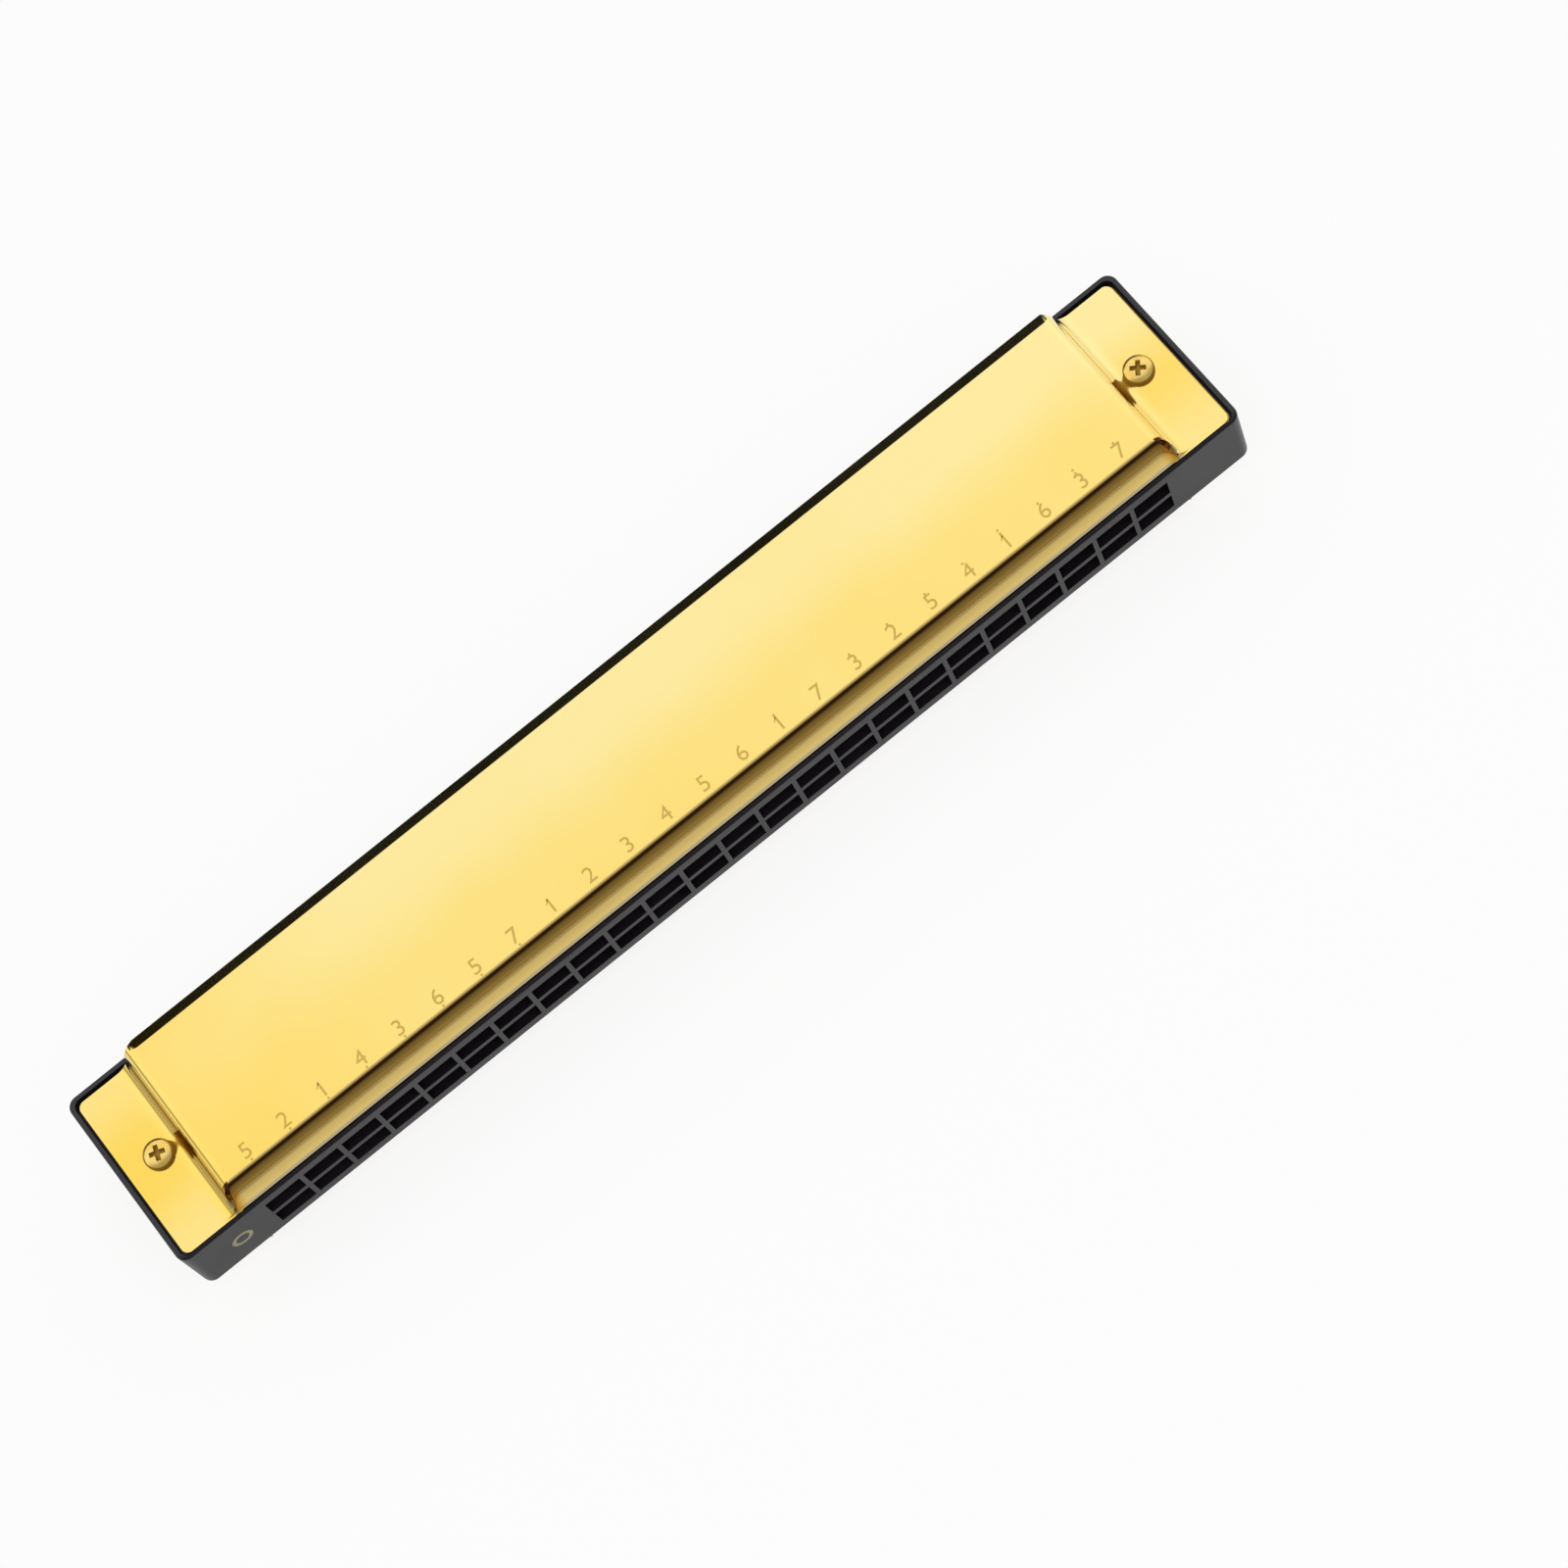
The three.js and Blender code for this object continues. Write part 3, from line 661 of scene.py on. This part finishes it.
# The walls' levels go by share of the step's run, and the band's tones by share of its rise. Some
# sockets of a Mix node have one name, so those that take colours go by number.
wall_levels = ((0.32, black), (0.36, white), (0.58, white), (0.62, black))
band_painted_reflections = ((0, "#fff0c4"), (0.025, "#fddc84"), (0.09, "#e8c878"), (0.16, "#dbc897"),
              (0.37, "#c5b695"), (0.5, "#aa9c7c"), (0.73, "#938161"), (0.82, "#6c5030"),
              (0.9, "#4c2e0a"), (0.97, "#4c2e0a"), (0.988, "#fddc84"))
mix_share, mix_from, mix_to, mix_result = 0, 6, 7, 2
wall_place = add_node(gold, "ShaderNodeMapRange", {"Value": along.outputs["Value"]},
                      {"From Min": shoulder_x, "From Max": step_foot})
wall_mask = add_node(gold, "ShaderNodeValToRGB", {"Fac": wall_place.outputs["Result"]},
                     stops=wall_levels)
wall_painted_reflection = add_node(gold, "ShaderNodeMix", {mix_share: high_end.outputs["Result"]},
                     {mix_from: linear("#cec3a2"), mix_to: linear("#fdf6dc")},
                     data_type="RGBA")
with_walls = add_node(gold, "ShaderNodeMix",
                      {mix_share: wall_mask.outputs["Color"],
                       mix_from: gold_tone.outputs["Color"],
                       mix_to: wall_painted_reflection.outputs[mix_result]}, data_type="RGBA")
from_middle = add_node(gold, "ShaderNodeMath", {0: spot.outputs["Z"]}, {1: comb_mid_z},
                       operation="SUBTRACT")
off_middle = add_node(gold, "ShaderNodeMath", {0: from_middle.outputs["Value"]},
                      operation="ABSOLUTE")
band_place = add_node(gold, "ShaderNodeMapRange", {"Value": off_middle.outputs["Value"]},
                      {"From Min": tab_top - comb_mid_z,
                       "From Max": tab_top - comb_mid_z + cover_rise})
band_tone = add_node(gold, "ShaderNodeValToRGB", {"Fac": band_place.outputs["Result"]},
                     stops=[(height, linear(code)) for height, code in band_painted_reflections])
in_band = add_node(gold, "ShaderNodeMapRange", {"Value": spot.outputs["Y"]},
                   {"From Min": cover_low.y + band_depth,
                    "From Max": cover_low.y + band_depth + band_blend,
                    "To Min": 1.0, "To Max": 0.0})
between_ends = add_node(gold, "ShaderNodeMapRange", {"Value": along.outputs["Value"]},
                        {"From Min": band_end_x, "From Max": band_end_x + band_end_blend,
                         "To Min": 1.0, "To Max": 0.0})
near_end = add_node(gold, "ShaderNodeMapRange", {"Value": along.outputs["Value"]},
                    {"From Min": band_end_x - band_end_length,
                     "From Max": band_end_x - end_tone_gap})
end_tone = add_node(gold, "ShaderNodeMix",
                    {mix_share: near_end.outputs["Result"],
                     mix_from: band_tone.outputs["Color"]},
                    {mix_to: linear("#fddc84")}, data_type="RGBA", blend_type="MULTIPLY")
band_mask = add_node(gold, "ShaderNodeMath",
                     {0: in_band.outputs["Result"], 1: between_ends.outputs["Result"]},
                     operation="MULTIPLY")
cover_tone = add_node(gold, "ShaderNodeMix",
                      {mix_share: band_mask.outputs["Value"],
                       mix_from: with_walls.outputs[mix_result],
                       mix_to: end_tone.outputs[mix_result]}, data_type="RGBA")
link(gold, cover_tone.outputs[mix_result], gold_shader.inputs["Base Color"])
haze = add_node(gold, "ShaderNodeTexNoise", {"Vector": place.outputs["Object"]},
                {"Scale": 1 / haze_size, "Detail": 4.0, "Roughness": 0.6})
stretch = add_node(gold, "ShaderNodeMapping", {"Vector": place.outputs["Object"]},
                   {"Scale": (hairline_stretch, 1.0, 1.0)})
hairlines = add_node(gold, "ShaderNodeTexNoise", {"Vector": stretch.outputs["Vector"]},
                     {"Scale": 1 / hairline, "Detail": 2.0})
mixed = add_node(gold, "ShaderNodeMath",
                 {0: haze.outputs["Fac"], 1: hairlines.outputs["Fac"]}, operation="MULTIPLY")
gloss = add_node(gold, "ShaderNodeMapRange", {"Value": mixed.outputs["Value"]},
                 {"From Min": 0.12, "From Max": 0.4, "To Min": 0.1, "To Max": 0.14})
link(gold, gloss.outputs["Result"], gold_shader.inputs["Roughness"])

# The sheared edge of the sheet is bare of plating. It is coloured a dull brown, as painted shade,
# so it shows as a dark line along the gap at the cover's edge. Its slot comes second, because
# Solidify gives the rim the slot after the faces' own.
edge_metal, edge_shader = new_material("sheared_sheet_edge")
shear_size = 0.25 * mm
edge_shader.inputs["Metallic"].default_value = 1.0
edge_shader.inputs["Base Color"].default_value = linear("#6e5428")
place = add_node(edge_metal, "ShaderNodeTexCoord")
shear_marks = add_node(edge_metal, "ShaderNodeTexNoise", {"Vector": place.outputs["Object"]},
                       {"Scale": 1 / shear_size, "Detail": 2.0})
edge_gloss = add_node(edge_metal, "ShaderNodeMapRange", {"Value": shear_marks.outputs["Fac"]},
                      {"To Min": 0.4, "To Max": 0.7})
link(edge_metal, edge_gloss.outputs["Result"], edge_shader.inputs["Roughness"])
for piece, node in ((upper_cover, "upper_cover"), (lower_cover, "lower_cover")):
    piece.data.materials.append(gold)
    piece.data.materials.append(edge_metal)
    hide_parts(node)
    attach(piece, "harmonica")

# The cover screws are gold-coloured self-tapping screws with a flat-domed head and a pressed cross
# recess. One goes through each tab and its plate into the comb. Half a section is spun to a solid.
screw_low, screw_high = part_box("upper_screw_left")
screw_x = (screw_high.x + screw_low.x) / 2
screw_y = (screw_high.y + screw_low.y) / 2
head_radius = (screw_high.x - screw_low.x) / 2
head_height = 0.95 * mm
head_edge = 0.15 * mm
head_foot = screw_high.z - head_height
head_flatness = 3
head_rounding = 0.05 * mm
shank_radius = 1.1 * mm
shank_tip = 1 * mm
dome_facets = 18
spin_facets = 56
screw_turns = {"left": math.radians(19), "right": math.radians(37)}
cross_length = 2.8 * mm
cross_width = 0.82 * mm
cross_depth = 0.5 * mm
cross_floor_share = 0.55
ring_start_share = 0.92
merge_distance = 0.001 * mm


def crown_height(out):
    """Height of the head's crown at a share of its radius from the axis."""
    return head_foot + head_edge \
        + (head_height - head_edge) * max(1 - out ** head_flatness, 0) ** (1 / head_flatness)


def screw_profile():
    """Half the screw's section, from its tip on the axis to the crown of the dome."""
    points = [(0, screw_low.z), (shank_radius, screw_low.z + shank_tip),
              (shank_radius, head_foot), (head_radius, head_foot)]
    outs = [math.cos(turn) ** (2 / head_flatness)
            for turn in spread(0, quarter_turn, dome_facets)[:-1]]
    return points + [(head_radius * out, crown_height(out)) for out in outs + [0]]


select_only()
bpy.ops.mesh.primitive_plane_add(size=mm)
screw = bpy.context.object
screw.name = "screw"
bpy.ops.object.mode_set(mode="EDIT")
bpy.ops.mesh.delete(type="VERT")
mesh = bmesh.from_edit_mesh(screw.data)
half = [mesh.verts.new((screw_x + radius, screw_y, z)) for radius, z in screw_profile()]
for a, b in zip(half, half[1:]):
    mesh.edges.new((a, b))
bmesh.update_edit_mesh(screw.data)
bpy.ops.mesh.select_all(action="SELECT")
bpy.ops.mesh.spin(steps=spin_facets, angle=2 * math.pi, center=(screw_x, screw_y, 0),
                  axis=(0, 0, 1))
bpy.ops.mesh.select_all(action="SELECT")
bpy.ops.mesh.remove_doubles(threshold=merge_distance)
bpy.ops.mesh.normals_make_consistent(inside=False)
bpy.ops.object.mode_set(mode="OBJECT")

for length, width in ((cross_length, cross_width), (cross_width, cross_length)):
    arm = block("cross_arm",
                (screw_x - length / 2, screw_y - width / 2, screw_high.z - cross_depth),
                (screw_x + length / 2, screw_y + width / 2, screw_high.z + cross_depth))
    for vertex in arm.data.vertices:
        if vertex.co.z < screw_high.z:
            vertex.co.x = screw_x + (vertex.co.x - screw_x) * cross_floor_share
            vertex.co.y = screw_y + (vertex.co.y - screw_y) * cross_floor_share
    cut_away(screw, arm)
bpy.ops.object.mode_set(mode="EDIT")
mesh = bmesh.from_edit_mesh(screw.data)
# The faces in the cross recess and on the side of the head take the second slot: painted shade,
# with dirt in the recess.
for face in mesh.faces:
    middle = face.calc_center_median()
    reach = math.hypot(middle.x - screw_x, middle.y - screw_y)
    sunk = head_foot < middle.z < crown_height(min(reach / head_radius, 1)) - head_rounding
    in_cross = reach < cross_length / 2 and sunk
    on_side = reach > ring_start_share * head_radius and middle.z > head_foot
    face.material_index = int(in_cross or on_side)
bmesh.update_edit_mesh(screw.data)
bpy.ops.object.mode_set(mode="OBJECT")
round_creases(screw, head_rounding)
smooth_below(screw, crease_angle)

# The screws have the same kind of plating, worn in small patches and a little duller than that of
# the covers.
screw_gold, screw_shader = new_material("plated_screw")
wear_size = 0.9 * mm
screw_shader.inputs["Metallic"].default_value = 1.0
place = add_node(screw_gold, "ShaderNodeTexCoord")
wear = add_node(screw_gold, "ShaderNodeTexNoise", {"Vector": place.outputs["Object"]},
                {"Scale": 1 / wear_size, "Detail": 4.0})
screw_tone = add_node(screw_gold, "ShaderNodeValToRGB", {"Fac": wear.outputs["Fac"]},
                      stops=((0.35, linear("#f5cb66")), (0.7, linear("#fde08c"))))
link(screw_gold, screw_tone.outputs["Color"], screw_shader.inputs["Base Color"])
screw_gloss = add_node(screw_gold, "ShaderNodeMapRange", {"Value": wear.outputs["Fac"]},
                       {"To Min": 0.1, "To Max": 0.26})
link(screw_gold, screw_gloss.outputs["Result"], screw_shader.inputs["Roughness"])

# The cross recess and the side of the head are coloured dull brown. On the side of the head this is
# painted shade, for the dark ring round the head; in the recess it is dirt and painted shade.
recess_metal, recess_shader = new_material("recess_dirt_and_painted_shade")
dirt_size = 0.3 * mm
recess_shader.inputs["Metallic"].default_value = 0.75
recess_shader.inputs["Base Color"].default_value = linear("#aa8430")
place = add_node(recess_metal, "ShaderNodeTexCoord")
dirt = add_node(recess_metal, "ShaderNodeTexNoise", {"Vector": place.outputs["Object"]},
                {"Scale": 1 / dirt_size, "Detail": 3.0})
recess_gloss = add_node(recess_metal, "ShaderNodeMapRange", {"Value": dirt.outputs["Fac"]},
                        {"To Min": 0.4, "To Max": 0.75})
link(recess_metal, recess_gloss.outputs["Result"], recess_shader.inputs["Roughness"])
screw.data.materials.append(screw_gold)
screw.data.materials.append(recess_metal)
for side in ("upper", "lower"):
    for end in ("left", "right"):
        node = f"{side}_screw_{end}"
        copy = screw.copy()
        copy.data = screw.data.copy()
        copy.name = f"{side}_{end}_cover_screw"
        bpy.context.scene.collection.objects.link(copy)
        select_only(copy)
        bpy.ops.object.mode_set(mode="EDIT")
        bpy.ops.mesh.select_all(action="SELECT")
        bpy.ops.transform.rotate(value=screw_turns[end], orient_axis="Z",
                                 center_override=(screw_x, screw_y, comb_mid_z))
        centre_x = screw_x
        if end == "right":
            centre_x = -screw_x
            bpy.ops.transform.translate(value=(centre_x - screw_x, 0, 0))
        if side == "lower":
            bpy.ops.transform.rotate(value=math.pi, orient_axis="Y",
                                     center_override=(centre_x, screw_y, comb_mid_z))
        bpy.ops.object.mode_set(mode="OBJECT")
        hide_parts(node)
        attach(copy, "harmonica")
bpy.data.objects.remove(screw)

# The note numbers are printed along the front of the raised top, one for each column, with the dots
# that give the octave below or above the number. They read upright from the mouth side.
note_digits = "521436571234561732541637"
dots_below = {1: 1, 2: 1, 3: 1, 4: 1, 5: 1, 6: 1, 7: 1, 8: 1}
dots_above = {15: 1, 17: 1, 18: 1, 19: 1, 20: 1, 21: 2, 22: 1, 23: 2, 24: 1}
digit_size = 3.1 * mm
digit_row_y = comb_low.y + 4.8 * mm
digit_half_height = 1.1 * mm
flag_run = 0.5 * mm
flag_stroke = 0.22 * mm
print_thickness = 0.02 * mm
print_z = tab_top + cover_rise
dot_radius = 0.17 * mm
dot_gap = 0.26 * mm
dot_pitch = 0.55 * mm
dot_facets = 14

marks = []
for column, digit in enumerate(note_digits, start=1):
    select_only()
    bpy.ops.object.text_add(location=(column_x(column), digit_row_y, print_z))
    letterform = bpy.context.object.data
    letterform.body = digit
    letterform.size = digit_size
    letterform.align_x = "CENTER"
    letterform.align_y = "CENTER"
    letterform.extrude = print_thickness
    bpy.ops.object.convert(target="MESH")
    marks.append(set_in_mesh())
    if digit == "1":
        # Its slanted stroke is a block, sheared into place.
        flag = block("flag", (0, 0, 0), (1, 1, 1))
        for vertex in flag.data.vertices:
            away = flag_run * (1 - vertex.co.x)
            vertex.co = (column_x(column) - away,
                         digit_row_y + digit_half_height - away - flag_stroke * (1 - vertex.co.y),
                         print_z + print_thickness * (2 * vertex.co.z - 1))
        marks.append(flag)
    for counts, way in ((dots_below, -1), (dots_above, 1)):
        for i in range(counts.get(column, 0)):
            y = digit_row_y + way * (digit_half_height + dot_gap + i * dot_pitch)
            select_only()
            bpy.ops.mesh.primitive_cylinder_add(
                vertices=dot_facets, radius=dot_radius, depth=2 * print_thickness,
                location=(column_x(column), y, print_z))
            marks.append(set_in_mesh())
numbers = joined(marks, "note_numbers")

# Baked ink is thin and lets the gold shine through, so the numbers read as a darker, matt gold. Its
# grains are drawn at 0.15 mm so that they show.
ink, ink_shader = new_material("baked_brown_ink")
ink_grain = 0.15 * mm
ink_shader.inputs["Base Color"].default_value = linear("#dfbf62")
ink_shader.inputs["Metallic"].default_value = 0.9
place = add_node(ink, "ShaderNodeTexCoord")
speckle = add_node(ink, "ShaderNodeTexNoise", {"Vector": place.outputs["Object"]},
                   {"Scale": 1 / ink_grain, "Detail": 2.0})
ink_gloss = add_node(ink, "ShaderNodeMapRange", {"Value": speckle.outputs["Fac"]},
                     {"To Min": 0.35, "To Max": 0.6})
link(ink, ink_gloss.outputs["Result"], ink_shader.inputs["Roughness"])
dress(numbers, ink)
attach(numbers, "harmonica")

# A plain ring is hot-stamped in foil on the left end of the comb's mouth side. The foil is thin and
# worn, so it reads as a dull, greenish gold on the black. Its grains are drawn at 0.12 mm.
ring_x = comb_low.x + 7.4 * mm
ring_y = comb_low.y + mark_room
ring_radius = 1.25 * mm
ring_facets = 56
foil_half_width = 0.28 * mm
foil_thickness = 0.015 * mm
foil_facets = 10
foil_grain = 0.12 * mm
select_only()
bpy.ops.mesh.primitive_torus_add(
    major_radius=ring_radius, minor_radius=foil_half_width, major_segments=ring_facets,
    minor_segments=foil_facets, location=(ring_x, ring_y, comb_mid_z),
    rotation=(quarter_turn, 0, 0))
ring = set_in_mesh()
ring.name = "foil_ring"
for vertex in ring.data.vertices:
    vertex.co.y = ring_y + (vertex.co.y - ring_y) * foil_thickness / foil_half_width
smooth_below(ring, crease_angle)
foil, foil_shader = new_material("hot_stamped_gold_foil")
foil_shader.inputs["Metallic"].default_value = 1.0
foil_shader.inputs["Base Color"].default_value = linear("#8f8b66")
place = add_node(foil, "ShaderNodeTexCoord")
foil_noise = add_node(foil, "ShaderNodeTexNoise", {"Vector": place.outputs["Object"]},
                      {"Scale": 1 / foil_grain, "Detail": 3.0})
foil_gloss = add_node(foil, "ShaderNodeMapRange", {"Value": foil_noise.outputs["Fac"]},
                      {"To Min": 0.25, "To Max": 0.55})
link(foil, foil_gloss.outputs["Result"], foil_shader.inputs["Roughness"])
dress(ring, foil)
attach(ring, "harmonica")

# The studio floor is white paper. To the camera and in reflections it is mostly plain white, and
# the rest of it is lit paper, which keeps a soft shadow.
floor_size = 30.0
floor_gap = 0.02 * mm
white_share = 0.85
select_only()
bpy.ops.mesh.primitive_plane_add(size=floor_size, location=(0, 0, cad_box[0][2] - floor_gap))
floor = set_in_mesh()
floor.name = "studio_floor"
paper, paper_shader = new_material("white_paper")
paper_shader.inputs["Base Color"].default_value = linear("#f8f8f7")
paper_shader.inputs["Roughness"].default_value = 0.9
paper_shader.inputs["Specular IOR Level"].default_value = 0.2
rays = add_node(paper, "ShaderNodeLightPath")
seen = add_node(paper, "ShaderNodeMath",
                {0: rays.outputs["Is Camera Ray"], 1: rays.outputs["Is Glossy Ray"]},
                operation="MAXIMUM")
seen_through = add_node(paper, "ShaderNodeMath",
                        {0: seen.outputs["Value"], 1: rays.outputs["Is Transmission Ray"]},
                        operation="MAXIMUM")
whiten = add_node(paper, "ShaderNodeMath", {0: seen_through.outputs["Value"]}, {1: white_share},
                  operation="MULTIPLY")
plain_white = add_node(paper, "ShaderNodeEmission", values={"Color": white, "Strength": 1.0})
paper_mix = add_node(paper, "ShaderNodeMixShader",
                     {0: whiten.outputs["Value"], 1: paper_shader.outputs["BSDF"],
                      2: plain_white.outputs["Emission"]})
link(paper, paper_mix.outputs["Shader"],
     paper.node_tree.nodes["Material Output"].inputs["Surface"])
dress(floor, paper)

# The sky is bright overhead and fades to a dark horizon, so that bends in the metal read as dark
# lines. The horizon is darkest at the rear and palest at the right, and the sky over the mouth side
# is about half as bright.
front_rear_tilt = -0.25
side_gain = 0.1
overhead_level = 0.985
side_levels = ((0.1, 0.6), (0.32, 1.0), (0.68, 1.0), (0.9, 0.12))
studio = bpy.data.worlds.new("studio")
bpy.context.scene.world = studio
studio.use_nodes = True
direction = add_node(studio, "ShaderNodeTexCoord")
parts = add_node(studio, "ShaderNodeSeparateXYZ", {"Vector": direction.outputs["Generated"]})
side_share = add_node(studio, "ShaderNodeMath", {0: parts.outputs["X"]}, operation="ABSOLUTE")
depth_share = add_node(studio, "ShaderNodeMath", {0: parts.outputs["Y"]}, operation="ABSOLUTE")
horizon = add_node(studio, "ShaderNodeMath",
                   {0: depth_share.outputs["Value"], 2: parts.outputs["Z"]},
                   {1: front_rear_tilt}, operation="MULTIPLY_ADD")
low_share = add_node(studio, "ShaderNodeMapRange", {"Value": horizon.outputs["Value"]},
                     {"From Min": 0.1, "From Max": 0.34, "To Min": 0.99, "To Max": 0.0},
                     interpolation_type="SMOOTHSTEP")
side_place = add_node(studio, "ShaderNodeMapRange", {"Value": parts.outputs["X"]},
                      {"From Min": -1.0, "From Max": 1.0})
side_dimness = add_node(studio, "ShaderNodeValToRGB", {"Fac": side_place.outputs["Result"]},
                        stops=[(at, (dim, dim, dim, 1.0)) for at, dim in side_levels])
front_dimness = add_node(studio, "ShaderNodeMapRange", {"Value": parts.outputs["Y"]},
                         {"From Min": -0.5, "From Max": 0.0, "To Min": 0.4, "To Max": 1.0})
horizon_dimness = add_node(studio, "ShaderNodeMath",
                           {0: side_dimness.outputs["Color"], 1: front_dimness.outputs["Result"]},
                           operation="MULTIPLY")
dimness = add_node(studio, "ShaderNodeMath",
                   {0: low_share.outputs["Result"], 1: horizon_dimness.outputs["Value"]},
                   operation="MULTIPLY")
brightness = add_node(studio, "ShaderNodeMath", {1: dimness.outputs["Value"]}, {0: 1.0},
                      operation="SUBTRACT")
sideways = add_node(studio, "ShaderNodeMath", {0: side_share.outputs["Value"]},
                    {1: side_gain, 2: overhead_level}, operation="MULTIPLY_ADD")
mouth_fade = add_node(studio, "ShaderNodeMapRange", {"Value": parts.outputs["Y"]},
                      {"From Min": -0.2, "From Max": 0.35, "To Min": 0.45, "To Max": 1.0},
                      interpolation_type="SMOOTHSTEP")
overhead = add_node(studio, "ShaderNodeMath",
                    {0: sideways.outputs["Value"], 1: mouth_fade.outputs["Result"]},
                    operation="MULTIPLY")
sky_level = add_node(studio, "ShaderNodeMath",
                     {0: brightness.outputs["Value"], 1: overhead.outputs["Value"]},
                     operation="MULTIPLY")
background = studio.node_tree.nodes["Background"]
background.inputs["Color"].default_value = white
link(studio, sky_level.outputs["Value"], background.inputs["Strength"])

# One large soft lamp hangs over the mouth side. The polished metal doesn't show it.
lamp_place = Vector((0, -0.45, 1.2))
lamp_length = 1.6
lamp_width = 1.0
lamp_power = 6.0
bpy.ops.object.light_add(type="AREA", location=lamp_place)
lamp = bpy.context.object
lamp.name = "soft_lamp"
lamp.data.shape = "RECTANGLE"
lamp.data.size = lamp_length
lamp.data.size_y = lamp_width
lamp.data.energy = lamp_power
lamp.rotation_euler = (-lamp_place).to_track_quat("-Z", "Y").to_euler()
lamp.visible_glossy = False

# The camera stands above the mouth side, a little to the left, and is rolled so that the instrument
# lies along the picture's diagonal.
camera_place = Vector((-17.51, -243.64, 581.49)) * mm
camera_aim = Vector((11.07, -11.27, 9.9)) * mm
camera_roll = math.radians(-32.23)
camera_lens = 113.5
film_width = 36
nearest_seen = 0.01
bpy.ops.object.camera_add(location=camera_place)
camera = bpy.context.object
look = (camera_aim - camera_place).to_track_quat("-Z", "Y").to_matrix()
view_axis = Vector((0, 0, 1))
camera.rotation_mode = "QUATERNION"
camera.rotation_quaternion = look.to_quaternion() @ Quaternion(view_axis, camera_roll)
camera.data.lens = camera_lens
camera.data.sensor_width = film_width
camera.data.clip_start = nearest_seen
bpy.context.scene.camera = camera
bpy.context.scene.view_settings.view_transform = "Standard"
